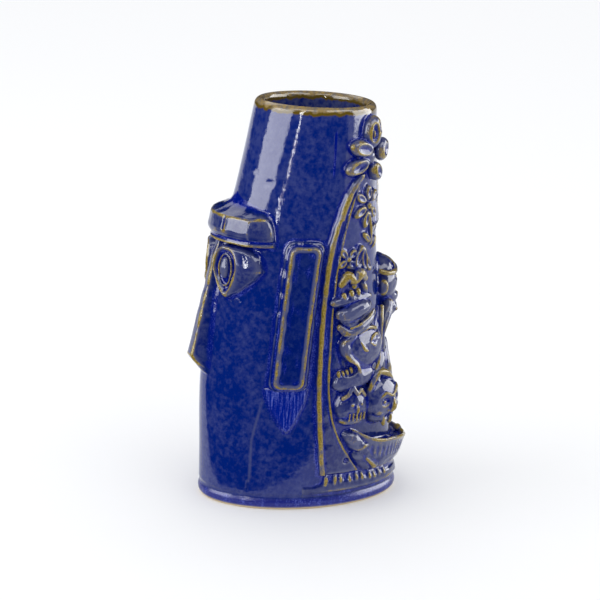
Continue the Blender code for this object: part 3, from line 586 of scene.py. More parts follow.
# In a union, a row of numbers is a ball, and a radius with points is a roll.
SPRIGS = {
    "brow_ledge": brow(),
    "nose": nose(),
    "eye": eye(),
    "pupil": pupil(),
    "ear": ear(),
    "ear_drop": ear_drop(),
    "arch_beam": beam(),
    # Five thick petals round a small heart.
    "flower": union([
        (32.5, 168, 1, 4.4, 4.6, 3.2),
        *petals(
            (22.5, 171.6, 1.5, 7.2, 4.2, 3.8, -12), (18, 163.6, 1.4, 7.2, 3.8, 3.8, 20),
            (42, 160.4, 2.4, 5.2, 4, 3.8, -50), (51, 170, 3.4, 5.6, 5.6, 3.8, 10),
        ),
        carved(
            ball(35.4, 178.6, 1.8, 5.8, 7.8, 4.6, -6),
            [(31.8, 178.8, 6.2, 1.9, 4.2, 2.8, -4), (39.4, 181.6, 6.2, 2, 2.6, 1.9)],
        ),
        (32, 178, 3.6, 0.8, 2.6, 1.6, -4),
    ], 0.5),
    # Looped petals round a small heart, with a stem and leaves.
    "small_flower": union([
        (35, 144.6, 1.2, 1.7, 1.7, 2),
        *[petal(t, z, 0.9, along, up, 2.1, lean, 0.6) for t, z, along, up, lean in (
            (35.2, 150.6, 3.6, 2.3, 88), (24.6, 148.6, 4, 2.1, 150), (24.4, 142.2, 4.2, 2.3, 208),
            (32.2, 138.4, 4.2, 2.2, 258), (44, 141, 3.6, 2.3, 318), (46, 148.6, 3.8, 2.3, 34),
        )],
        (1.1, (38, 140.6, 0.6), (41, 133.6, 0.8), (41, 126.6, 0.4)),
        *petals((46, 132.6, 0.6, 3.8, 1.7, 1.6, 35), (34, 129.6, 0.6, 3.6, 1.6, 1.6, 140)),
        (47, 126.6, 0.6, 3.2, 1.5, 1.6, 60),
    ], 0.35),
    # A four-lobed blossom beside upright leaves.
    "leaf_spray": union([
        (11.5, 121, 1.2, 1.5, 1.5, 2),
        *[petal(*polar(11.5, 121, lean, 3.4), 1, 2.7, 1.8, 2, lean, 0.6) for lean in (40, 130, 220, 310)],
        (1.3, (13, 117.4, 0.8), (18, 116.4, 1.2), (24, 117.5, 1.2)),
        *petals(
            (22, 121.8, 1.4, 5.8, 2, 2.6, 66, 0.7), (27.5, 120.4, 1.4, 6.6, 2.2, 2.9, 98, 0.7),
            (33.5, 118, 1, 5.2, 1.8, 2.2, 122, 0.7),
        ),
    ], 0.3),
    # A wide open mouth: a wavy lip, a jaw, the shelf behind them and blunt teeth.
    "upper_mask": union([
        (2.1, (5.8, 109.6, 1.6, 0.9), (10.5, 113.4, 2.6, 1.25), (16, 111.4, 3.4), (21.5, 114.2, 3, 1.35),
         (28, 111.6, 2.2, 0.9)),
        (16.5, 101.6, 0.2, 12, 3.4, 3.6, 4), (17, 106.5, -0.6, 9.5, 5, 1.4),
        (28.5, 106.4, 0.6, 2.4, 4.4, 3, 20), (16.6, 108.8, 2.4, 1.3, 1.9, 1.5),
        (7.6, 103.4, 2.4, 1.495, 2.53, 1.5), (14, 104.2, 2.4, 1.625, 2.75, 1.5),
        (20.6, 105.2, 2.4, 1.3, 2.2, 1.5),
    ], 0.6),
    # A thick rolled band.
    "headband": union([
        (3.6, (6, 95.4, 2, 0.8), (10.5, 95.6, 3.2, 1.05), (17, 97.2, 3.5, 1.1), (24, 98.4, 3.4),
         (31.5, 98.4, 2, 0.7)),
        (2.2, (8, 92.6, 2.4, 0.8), (13.5, 91.2, 3.4, 1.1), (19, 93.4, 3, 0.9), (27, 95.4, 2.2, 0.7)),
    ], 0.9),
    # A bar bent down to a point near the arch, with an edge along its top.
    "brow_bar": union([
        (2.2, (5.6, 89.2, 2.2, 0.8), (11.5, 86.6, 3.8, 1.1), (19, 88.4, 4.2, 1.1), (28, 91, 3.8),
         (38.5, 93.8, 2.4, 0.7)),
        (0.8, (12, 89.2, 5.2), (19, 90.6, 5.6), (28, 93, 5), (37, 95.4, 3.4)),
    ], 0.5),
    # A large face turned to the arch: cheek, jaw, nose and open mouth, then ringed eye, folds and teeth.
    "profile_mask": union([
        carved(union([
            (28.5, 77, -0.6, 13, 12.4, 6.8), (19, 79.5, 0.4, 8, 8, 5.4), (20, 63.6, 0.2, 12.4, 6.2, 5, 8),
            (10.5, 62.2, 1, 6, 3.4, 3.6, 12),
            (1.5, (13.5, 85, 4.2), (9.2, 81.6, 3.6), (9.6, 77.2, 4), (13.6, 73.4, 4.4), (18.4, 69.6, 4.6),
             (21.2, 65.4, 4, 0.7)),
            (10, 79, 2.4, 2.8, 3.8, 2.8, 10),
        ], 1.4), [(10.4, 69.4, 3.4, 6.4, 3.5, 3.4, -8)], 0.8),
        (34, 82, 4.4, 2, 1.5, 1.6, 12),
        (0.8, (28.5, 81.6, 5.6, 0.6), (31.6, 84.2, 6), (35.5, 84.6, 5.6), (39.5, 82.8, 4.4, 0.6)),
        (0.7, (28.5, 81, 5.8, 0.6), (33, 79.2, 6), (38.5, 81.2, 4.6, 0.5)),
        (1, (20, 81.6, 5.4), (22.6, 78.6, 6.2), (25, 77.6, 6.4, 0.7)),
        (1, (41.5, 84.5, 3.2, 0.7), (42, 77, 4), (39, 70, 4.6), (33.5, 63.5, 4.2, 0.8)),
        (0.7, (21, 70.6, 6), (27, 68.4, 6.2), (35, 69.4, 5.2, 0.6)),
        (1.1, (20, 86.4, 4.6), (28, 88.2, 4.8), (37.5, 86.6, 3.8)),
        *[(t, z, 2.4, 0.9, 2, 1.6) for t, z in ((5.6, 66.6), (8.6, 66.4), (11.8, 66.8), (15, 67.8))],
    ], 0.5),
    # A small face with a jagged crown, two eyes and a barred mouth.
    "lower_mask": union([
        carved(
            union([(18, 50, -0.6, 9.4, 9.2, 6), (17, 43.6, 0.6, 7.2, 2.8, 4.2)], 1),
            [
                (14.6, 51.6, 6.2, 2.3, 1.7, 1.4), (21.4, 51.6, 6.2, 2.3, 1.7, 1.4),
                (18, 45.8, 5.6, 5.4, 1.9, 1.7),
            ],
        ),
        roll((
            (9, 54.8, 3), (12, 56.4, 4), (15.5, 60.2, 3.8), (18.5, 56.8, 4.8), (21.5, 58.6, 4.4),
            (25.2, 55.2, 3.8),
        ), 1.15, steps=1),
        (14.6, 51.6, 4.6, 1.3, 1, 1.1), (21.4, 51.6, 4.6, 1.3, 1, 1.1), (18, 49.4, 5.4, 1.1, 2.4, 1.4),
        *[(0.62, (t, 47.4, 5.2), (t, 44, 4.4)) for t in (12.6, 15.3, 18, 20.7, 23.4)],
    ], 0.35),
    # A broad face under a leaf hood, with full cheeks and two fangs.
    "fang_mask": union([
        carved(
            union([(45, 51.5, 0.8, 12.6, 11.2, 9), (44.5, 42.6, 0.6, 9.4, 4, 6.4)], 1.6),
            [
                (38, 51, 9.4, 2.8, 1.9, 2, 14), (49, 52, 9.8, 2.8, 1.9, 2, -10),
                (43.8, 41.8, 7.2, 5.2, 2.2, 2.4, 6),
            ],
        ),
        (1.5, (29.5, 54.5, 3.2), (32.5, 60.5, 4.4), (37.5, 64.8, 5.2, 1.15), (44, 64.2, 6.2, 1.15),
         (51, 60.5, 6.2), (56.5, 55.5, 4.8, 0.8)),
        (0.9, (33.5, 52.6, 7.2), (38.5, 55.4, 9), (43.5, 53.8, 9.8), (48.5, 56.4, 9.8), (53.5, 57.4, 8)),
        (38, 50.9, 7.6, 1.6, 1.2, 1.2), (49, 51.9, 8, 1.6, 1.2, 1.2),
        (1.5, (44.4, 53, 9.2, 0.8), (44, 48.6, 9.8, 1.2), (43.6, 46.4, 8.6)), (41.4, 46.6, 7.8, 1.4, 1.2, 1.2),
        (36, 46.6, 4.6, 3.4, 3.2, 3.2), (52.2, 47.4, 5.6, 3.4, 3.4, 3.2),
        (39.4, 40.8, 5.4, 1.3, 3.2, 1.5, 14), (47.6, 40.6, 5.4, 1.3, 2.9, 1.5, -10),
        *[petal(t, z, 4.6, 3.6, 1.5, 1.6, lean, 0.7) for t, z, lean in (
            (32.5, 61.6, 60), (38.5, 63.2, 82), (44.5, 63.2, 104), (50.5, 61.6, 126),
        )],
    ], 0.4),
    # The round head of the seated figure, with eyes, a nose, brows, a mouth and ear plugs.
    "figure_head": union([
        carved(
            union([(90, 102.4, 1.4, 11, 11.2, 10.4), (90, 95, 2.8, 7.8, 5.8, 9.8)], 1.5),
            [(82, 105.2, 11, 2.8, 1.7, 1.8), (98, 105.2, 11, 2.8, 1.7, 1.8), (90, 97.4, 11.4, 3.4, 1.1, 1.6)],
        ),
        (82, 105.2, 9.6, 1.6, 1.1, 1.2), (98, 105.2, 9.6, 1.6, 1.1, 1.2), (90, 102, 10.8, 1.7, 3.2, 1.6),
        *[(0.8, (90 + 2 * s, 108, 10.6), (90 + 8 * s, 109, 10.2), (90 + 14 * s, 107.4, 8.2)) for s in (-1, 1)],
        (63, 102.5, 3, 2.2, 4, 2.6), (117, 102.5, 3, 2.2, 4, 2.6),
    ], 0.5),
    # A cap with a rolled edge and ribs over the top of the head.
    "figure_cap": union([
        carved(ball(90, 108, 1.2, 11.6, 7.8, 10.6), [(90, 95, 1, 30, 14, 30)]),
        (1.35, *[
            (90 + 28 * cos(a), 110.4 + 1.2 * sin(2 * a), 2 + 8.2 * sin(a))
            for a in np.linspace(0, pi, 13)
        ]),
        *[
            (0.6, (90 + s, 109, 10.8 - abs(s) * 0.12), (90 + s * 0.7, 112.8, 8.6), (90 + s * 0.3, 115.2, 4.6))
            for s in (-16, -6, 6, 16)
        ],
    ], 0.5),
    # The chest and belly below the head, with a string of beads.
    "figure_torso": union([
        (90, 89.4, 0.8, 8.4, 7, 10.8), (90, 79, -1, 8, 9, 5.4),
        *[
            (90 + s * 7, 90.6 - 2.2 * cos(s * 0.55), 10.8 - abs(s) * 1.3, 1.2, 1.2, 1.1)
            for s in range(-2, 3)
        ],
    ], 0.8),
    # An arm bent from the shoulder down to the knee, with fingers, and a cloth behind it.
    "figure_arm": union([
        (2.3, (77, 92.5, 5, 1.25), (68, 87, 3.2, 1.1), (62, 80, 0.8, 0.95), (66, 73, 0.2, 0.9)),
        *[(67.5 + 1.8 * k, 70.6 - 0.4 * k, 0.6, 0.9, 2, 1.4) for k in range(3)],
        (1.7, (62, 93, 1.8, 0.8), (56.5, 85, 1.2), (57, 75.5, 0.6, 0.7)), (62, 78, -1, 8, 12, 2),
    ], 0.9),
    # A folded leg: the knee up and the foot down.
    "figure_leg": union([
        (2.4, (83, 73, 1.4), (76, 69.5, 0.8, 1.15), (70, 63.5, 1.6), (76, 58.5, 2.4, 0.9)),
        (79, 56.8, 2.4, 3.4, 2, 2.2), (68, 62, -0.8, 6, 8, 2.6),
    ], 0.8),
    # Three pointed leaves between the masks, above the bowl.
    "leaf_fan": union([fan_leaf(90, 1), fan_leaf(50, 0.82), fan_leaf(130, 0.82)], 0.35),
    # A tall leaf with side leaves on the back above the figure.
    "crest_leaf": union([
        carved(ball(90, 148, 0.4, 19, 4.4, 2.6, 90), [(0.5, (90, 133, 2.8), (90, 163, 2.6))], 0.3),
        *[petal(t, z, 0.4, 8.8, 2.7, 2.1, lean, 0.7) for t, z, lean in (
            (104, 140, 128), (104, 152, 120), (76, 140, 52), (76, 152, 60),
        )],
    ], 0.35),
    "bowl": bowl(),
    # A small upright knob on the bowl's rim.
    "bowl_knob": union([
        (90, BOWL_RIM - BOWL_DIP - 0.9, BOWL_OUT - 1.6, 3, 2, 1.9),
        (90, BOWL_RIM - BOWL_DIP + 0.4, BOWL_OUT - 1.4, 1.8, 1, 1.3),
    ], 0.4),
    # An arm that holds the bowl from below, with a fold and a cuff.
    "bowl_arm": union([
        (3.2, (13.5, 35.6, 0.2, 0.7), (18, 33.4, 1, 1.2), (23.5, 29.6, 1.2, 1.1), (28.5, 24.6, 0.9, 0.9),
         (34, 19.5, 0.6)),
        (20, 31, -0.4, 5.6, 4.4, 3.4, -30),
        (1, (16.5, 30.6, 2, 0.7), (20, 29.2, 3.6), (24, 30.4, 4.6), (28, 30, 3.6, 0.8)),
        (1, (26.5, 23, 3, 0.7), (31, 19.6, 3.2), (35, 17.4, 2, 0.7)),
    ], 1.4),
    # A bent knee below the arm.
    "bowl_knee": union([
        (22, 25, 0.4, 4, 3, 3.2, -10), (25.5, 21.4, 0, 7, 3.4, 2.8, -42),
        (0.9, (19, 27.2, 1.6, 0.7), (22, 27.4, 3), (25.4, 26.2, 2.6, 0.7)),
    ], 1.2),
    "reed_skirt": reed_skirt(),
}
HEAD = ("brow_ledge", "nose", "eye", "pupil", "ear", "ear_drop")
CENTRAL = (
    "brow_ledge", "nose", "figure_head", "figure_cap", "figure_torso", "leaf_fan", "crest_leaf",
    "bowl", "bowl_knob",
)

# ---------------- all the sprigs in one field


def wobble(block):
    """The small unevenness of clay pressed by hand, never outwards."""
    x, y, z = block.x, block.y, block.z
    waves = np.sin(0.9 * x + 1.4 * np.sin(0.31 * z)) + np.sin(0.83 * y + 0.55 * z)
    return 0.05 * (3 + (waves + np.sin(0.71 * z + 0.47 * x - 0.3 * y)))


NEAREST = np.full(COUNTS, FAR, np.float32)
SECOND = np.full(COUNTS, FAR, np.float32)
own = {}
for name, shape in SPRIGS.items():
    block = Block(shape.low, shape.high)
    values = np.minimum(shape.distance(block) + wobble(block), FAR).astype(np.float32)
    own[name] = (block, values)
    first = NEAREST[block.slices]
    SECOND[block.slices] = np.minimum(SECOND[block.slices], np.maximum(first, values))
    NEAREST[block.slices] = np.minimum(first, values)

RELIEF = soft_min(NEAREST, SECOND, 0.5)
SURFACE = soft_min(OFF, RELIEF, FILLET)


def blurred(field, passes):
    """The field averaged over its neighbours, the same on both sides of the middle plane."""
    field = np.concatenate((field[passes:0:-1], field), axis=0)
    for axis in range(3):
        for _ in range(passes):
            low, mid, high = ([slice(None)] * 3 for _ in range(3))
            low[axis], mid[axis], high[axis] = slice(0, -2), slice(1, -1), slice(2, None)
            out = field.copy()
            out[tuple(mid)] = 0.25 * field[tuple(low)] + 0.5 * field[tuple(mid)] + 0.25 * field[tuple(high)]
            field = out
    return field[passes:]


# How far the surface stands out of, or lies in, the average of its surroundings.
CURVE = blurred(SURFACE, 8) - SURFACE
COARSE = SURFACE[::2, ::2, ::2]
WIDE_CURVE = blurred(COARSE, 6) - COARSE


def sampled(field, points, step=VOXEL):
    """The field's value at points, the same on both sides of the middle plane."""
    places = (np.abs(points * (1, 0, 0)) + points * (0, 1, 1) - LOW) / step
    places = np.clip(places, 0, np.array(field.shape) - 1.001)
    cell = places.astype(int)
    f = places - cell
    total = 0
    for corner in np.ndindex(2, 2, 2):
        weight = np.prod(np.where(np.array(corner) == 1, f, 1 - f), axis=1)
        total = total + weight * field[tuple((cell + corner).T)]
    return total


# ---------------- meshes


def add_mesh(name, points, faces, attributes, material):
    """An object in metres from points in millimetres about the vessel's axis, facing out."""
    place = (np.array(points, float) + (0, AXIS_Y, 0)) * MM
    mesh = bpy.data.meshes.new(name)
    mesh.vertices.add(len(place))
    mesh.vertices.foreach_set("co", place.astype(np.float32).ravel())
    faces = np.array(faces)
    mesh.loops.add(faces.size)
    mesh.loops.foreach_set("vertex_index", faces.astype(np.int32).ravel())
    mesh.polygons.add(len(faces))
    mesh.polygons.foreach_set("loop_start", np.arange(0, faces.size, faces.shape[1], dtype=np.int32))
    mesh.update(calc_edges=True)
    mesh.shade_smooth()
    for key, values in attributes.items():
        layer = mesh.attributes.new(key, "FLOAT", "POINT")
        layer.data.foreach_set("value", np.array(values, np.float32))
    mesh.materials.append(material)
    obj = bpy.data.objects.new(name, mesh)
    bpy.context.scene.collection.objects.link(obj)
    return obj


def facing_out(points, faces):
    """The faces, turned round if they enclose a negative volume."""
    a, b, c, d = (points[faces[:, i]] for i in range(4))
    volume = (a * (np.cross(b, c) + np.cross(c, d))).sum()
    return faces if volume > 0 else faces[:, ::-1]


def biggest_part(points, faces):
    """Only the largest connected piece."""
    label = np.arange(len(points))
    while True:
        lowest = label[faces].min(axis=1)
        new = label.copy()
        for i in range(4):
            np.minimum.at(new, faces[:, i], lowest)
        new = new[new]
        if np.array_equal(new, label):
            break
        label = new
    kept = label == np.bincount(label).argmax()
    index = np.cumsum(kept) - 1
    return points[kept], index[faces[kept[faces[:, 0]]]]


def relaxed(points, faces, rounds=2):
    """Points eased towards their neighbours and back, which takes out the steps of the voxels."""
    edges = np.vstack([faces[:, [i, (i + 1) % 4]] for i in range(4)])
    count = np.bincount(edges[:, 0], minlength=len(points))[:, None]
    for _ in range(rounds):
        for amount in (0.5, -0.52):
            total = np.zeros_like(points)
            for i in range(3):
                total[:, i] = np.bincount(edges[:, 0], points[edges[:, 1], i], minlength=len(points))
            points = points + amount * (total / count - points)
    return points


def skin(field, start):
    """Points and quads on the zero level of a block's field."""
    padded = np.pad(field, 1, constant_values=3.0)
    grid = openvdb.FloatGrid(3.0)
    grid.copyFromArray(np.ascontiguousarray(np.clip(padded, -3, 3), dtype=np.float32))
    points, faces = grid.convertToQuads(0.0)
    points = (points.astype(float) + start - 1) * VOXEL + LOW
    points, faces = biggest_part(points, faces.astype(int))
    points = relaxed(points, faces)
    return points, facing_out(points, faces)


def ramp(values, low, high):
    return np.clip((values - low) / (high - low), 0, 1)


def glaze_marks(points):
    """Where the glaze thins over an edge, pools in a crease, and lies thin on what stands out."""
    curve = sampled(CURVE, points)
    shallow = 0.5 * ramp(-curve, 0.0, 0.06) * (sampled(RELIEF, points) < 2.0)
    return {
        "breaks": 0.84 * ramp(curve, 0.02, 0.24),
        "halo_and_highlight": ramp(sampled(WIDE_CURVE, points, 2 * VOXEL), 0.03, 0.45),
        "pools_and_shade": np.maximum(ramp(-curve, 0.03, 0.26), shallow),
        "stands": ramp(sampled(OFF, points), 0.8, 4.0),
        **{key: np.zeros(len(points)) for key in ("bare", "rim", "drop")},
    }


def fitted_marks(name, points):
    """The glaze's marks, with what is special to some of the sprigs."""
    marks = glaze_marks(points)
    if name == "ear_drop":
        marks["drop"] = ramp(sampled(OFF, points), 0.1, 0.5)
        marks["breaks"] *= 0
    if name in ("ear", "ear_drop"):
        marks["stands"] *= 0
        worn = 1 - 0.12 * ramp(points[:, 2], 110, 128) - 0.10 * ramp(-points[:, 1], 12, 20)
        marks["breaks"] *= worn
    if name == "nose":
        marks["breaks"] = np.minimum(marks["breaks"] * 1.3, 0.9)
        marks["stands"] *= 0.5
    if name in ("eye", "pupil"):
        marks["breaks"] *= 0.9 if name == "eye" else 0.5
    if name == "brow_ledge":
        rise = points[:, 2] - BROW_LOW
        marks["breaks"] = np.clip((marks["breaks"] - 0.10) * 2.0, 0, 0.84)
        marks["stands"] *= ramp(rise, 3, 9) * ramp(-rise, -15.0, -13.4)
        marks["pools_and_shade"] = np.maximum(marks["pools_and_shade"], 0.8 * ramp(rise, 15.0, 17.5))
    return marks


def make_sprig(name, material_name):
    """The piece, or the pair of pieces, that stands for a sprig of the CAD."""
    block, values = own[name]
    first, second = NEAREST[block.slices], SECOND[block.slices]
    others = np.where(values <= first, second, first)
    body = soft_min(block.off + SINK, RELIEF[block.slices], FILLET)
    field = np.maximum(body, -(block.off + BACK_DEPTH))
    field = np.maximum(field, values - REACH)
    field = np.maximum(field, (values - others) / 2 - OVERLAP)
    start = block.start.copy()
    sides = (("_left", 1), ("_right", -1))
    if name in CENTRAL:
        sides = (("", 1),)
        field = np.concatenate((field[:0:-1], field), axis=0)
        start[0] = -(field.shape[0] - 1) // 2
    points, faces = skin(field, start)
    marks = fitted_marks(name, points)
    for suffix, sign in sides:
        place = points * (sign, 1, 1)
        piece = add_mesh("glazed_" + name + suffix, place, faces[:, ::sign], marks, materials[material_name])
        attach(piece, "root")
        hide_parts(name + suffix)


# ---------------- the vessel

AROUND = 360
# Height and distance off the wall: the recess, the ring it stands on, the bead and the groove.
FOOT_PROFILE = (
    (1.5, -8), (1.5, -6.3), (0.9, -5.8), (0.1, -5.1), (0, -4.4), (0, -1.9), (0.15, -1.4), (0.5, -1),
    (0.9, -0.6), (1.4, -0.15), (2, 0.1), (2.6, 0.2), (3.4, 0.25), (4.2, 0.1), (4.8, -0.1), (5.4, -0.4),
    (6, -0.6), (6.6, -0.6), (7.2, -0.4), (7.8, -0.15), (8.4, -0.03),
)
FLOOR_ROUND = 6.0
LIP_ROWS = 16
NECK_GROOVE = -3.3
# The crease of the jaw: heights and turns.
JAW_LINE = ((8, 34, 60), (-44, -42.6, -34.5))
# Flaws in the glaze on the neck: turn, height, half width in degrees, half height, depth.
DENTS = (
    (-67, 158, 5, 1.3, 0.26), (-54, 154.4, 5, 1.8, 0.30), (-62, 172.6, 3, 1.4, 0.20),
    (-57, 170.2, 3, 1.1, 0.20), (-120, 163, 5, 1.6, 0.24),
)


def bump_at(value, centre, width):
    return np.exp(-(((value - centre) / width) ** 2))


def both_jaws(turns, crease, width):
    """The crease's mark on the left and on the right."""
    return bump_at(turns, crease, width), bump_at(turns, -180 - crease, width)


def vessel_rows():
    """Heights and distances off the wall from the foot's middle to the floor's, and where the inside starts."""
    lip_low = HEIGHT - LIP_HEIGHT
    rows = [*FOOT_PROFILE, *((z, 0) for z in np.arange(9.2, lip_low - 0.2, 0.9))]
    for a in np.linspace(0, pi, LIP_ROWS):
        rows.append((lip_low + LIP_HEIGHT * sin(a), WALL / 2 * (cos(a) - 1)))
    inside = len(rows) - 6
    rows += [(z, -WALL) for z in np.arange(lip_low - 2, FLOOR_TOP + 8, -4)]
    for a in np.linspace(0, pi / 2, 7):
        rows.append((FLOOR_TOP + FLOOR_ROUND * (1 - sin(a)), -WALL - FLOOR_ROUND * (1 - cos(a))))
    return rows, inside


def wall_relief(turns, angle, z):
    """How far the outer wall lies below its smooth oval at one height."""
    ripple = np.sin(3 * angle + 0.16 * z) * np.sin(0.21 * z + 2 * angle) + np.sin(7 * angle - 0.09 * z)
    groove = bump_at(turns, NECK_GROOVE - 0.10 * (z - 171), 1) * ramp(z, 158, 164) * (1 - ramp(z, 178, 181))
    below = 0.02 * (2 + ripple) + 0.32 * groove
    for turn, level, wide, tall, deep in DENTS:
        below += deep * bump_at(turns, turn, wide) * bump_at(z, level, tall)
    crease = np.interp(z, *JAW_LINE)
    below += 0.30 * ramp(z, 9, 20) * (1 - ramp(z, 48, 60)) * sum(both_jaws(turns, crease, 1.6))
    return below + 0.6 * (1 - ramp(z, 13, 15)) * sum(both_jaws(turns, crease, 1.0))


def make_vessel():
    """The foot, the bead and groove above it, the wall, the round lip, the inside and the floor."""
    turns = np.linspace(-180, 180, AROUND, endpoint=False)
    angle = np.radians(turns)
    rows, inside = vessel_rows()
    rings = []
    for z, out in rows:
        half = float(half_at(z))
        depth = np.where(turns >= 0, back_at(z), front_at(z))
        normal = np.stack((np.cos(angle) / half, np.sin(angle) / depth))
        normal /= np.linalg.norm(normal, axis=0)
        off = out - (wall_relief(turns, angle, z) if out == 0 else np.zeros(AROUND))
        oval = np.stack((half * np.cos(angle), depth * np.sin(angle)))
        rings.append(np.vstack((oval + normal * off, np.full(AROUND, z))).T)
    points = np.concatenate(rings)
    index = np.arange(AROUND)
    after = (index + 1) % AROUND
    last = (len(rings) - 1) * AROUND
    faces = [
        np.stack((first + index, first + after, first + AROUND + after, first + AROUND + index), axis=1)
        for first in range(0, last, AROUND)
    ]
    # The two ends close with a fan of quads to the middle.
    even = index[::2]
    for first, flip in ((0, -1), (last, 1)):
        middle = np.full(len(even), len(points))
        points = np.vstack((points, (0, points[first : first + AROUND, 1].mean(), points[first, 2])))
        fan = np.stack((first + even, first + even + 1, first + (even + 2) % AROUND, middle), axis=1)
        faces.append(fan[:, ::flip])
    faces = facing_out(points, np.concatenate(faces))
    outer = np.ones(len(points), bool)
    outer[inside * AROUND :] = False
    outer[-2] = True
    z = points[:, 2]
    turn = np.append(np.tile(turns, len(rows)), (0, 0))
    marks = glaze_marks(points)
    for key in ("breaks", "halo_and_highlight", "pools_and_shade", "stands"):
        marks[key] = np.where(outer, marks[key], 0) * ramp(z, 2, 6)
    marks["stands"] = np.where(outer, marks["stands"], 0.7)
    marks["pools_and_shade"] = np.maximum(marks["pools_and_shade"], bump_at(z, 3.4, 2.2) * outer)
    # Pooled glaze colour down the neck's groove, which is also painted shade: the groove is darkened where its
    # own shade falls.
    marks["pools_and_shade"] += bump_at(turn, NECK_GROOVE - 0.2, 1) * ramp(z, 156, 162) * (1 - ramp(z, 178, 181)) * outer
    # Painted highlight: a grey streak in the thin glaze's colour along one side of the jaw's crease, where
    # light catches the crease's edge.
    crease = np.maximum(*both_jaws(turn, np.interp(z, *JAW_LINE) + 0.8, 1.2))
    marks["halo_and_highlight"] = np.maximum(marks["halo_and_highlight"], 0.5 * crease * ramp(z, 10, 16) * (1 - ramp(z, 46, 64)) * outer)
    marks["bare"] = ramp(-z, -1.5, -0.8) * outer
    marks["rim"] = ramp(z, HEIGHT - 5, HEIGHT)
    body = add_mesh("glazed_mug_body", points, faces, marks, materials["glaze_body"])
    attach(body, "root")
    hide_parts("mug_body")


# ---------------- glaze


def linear(*rgb):
    """Display colour in 0-255 to a linear colour."""
    return (*(((c / 255 + 0.055) / 1.055) ** 2.4 if c > 10 else c / 255 / 12.92 for c in rgb), 1.0)


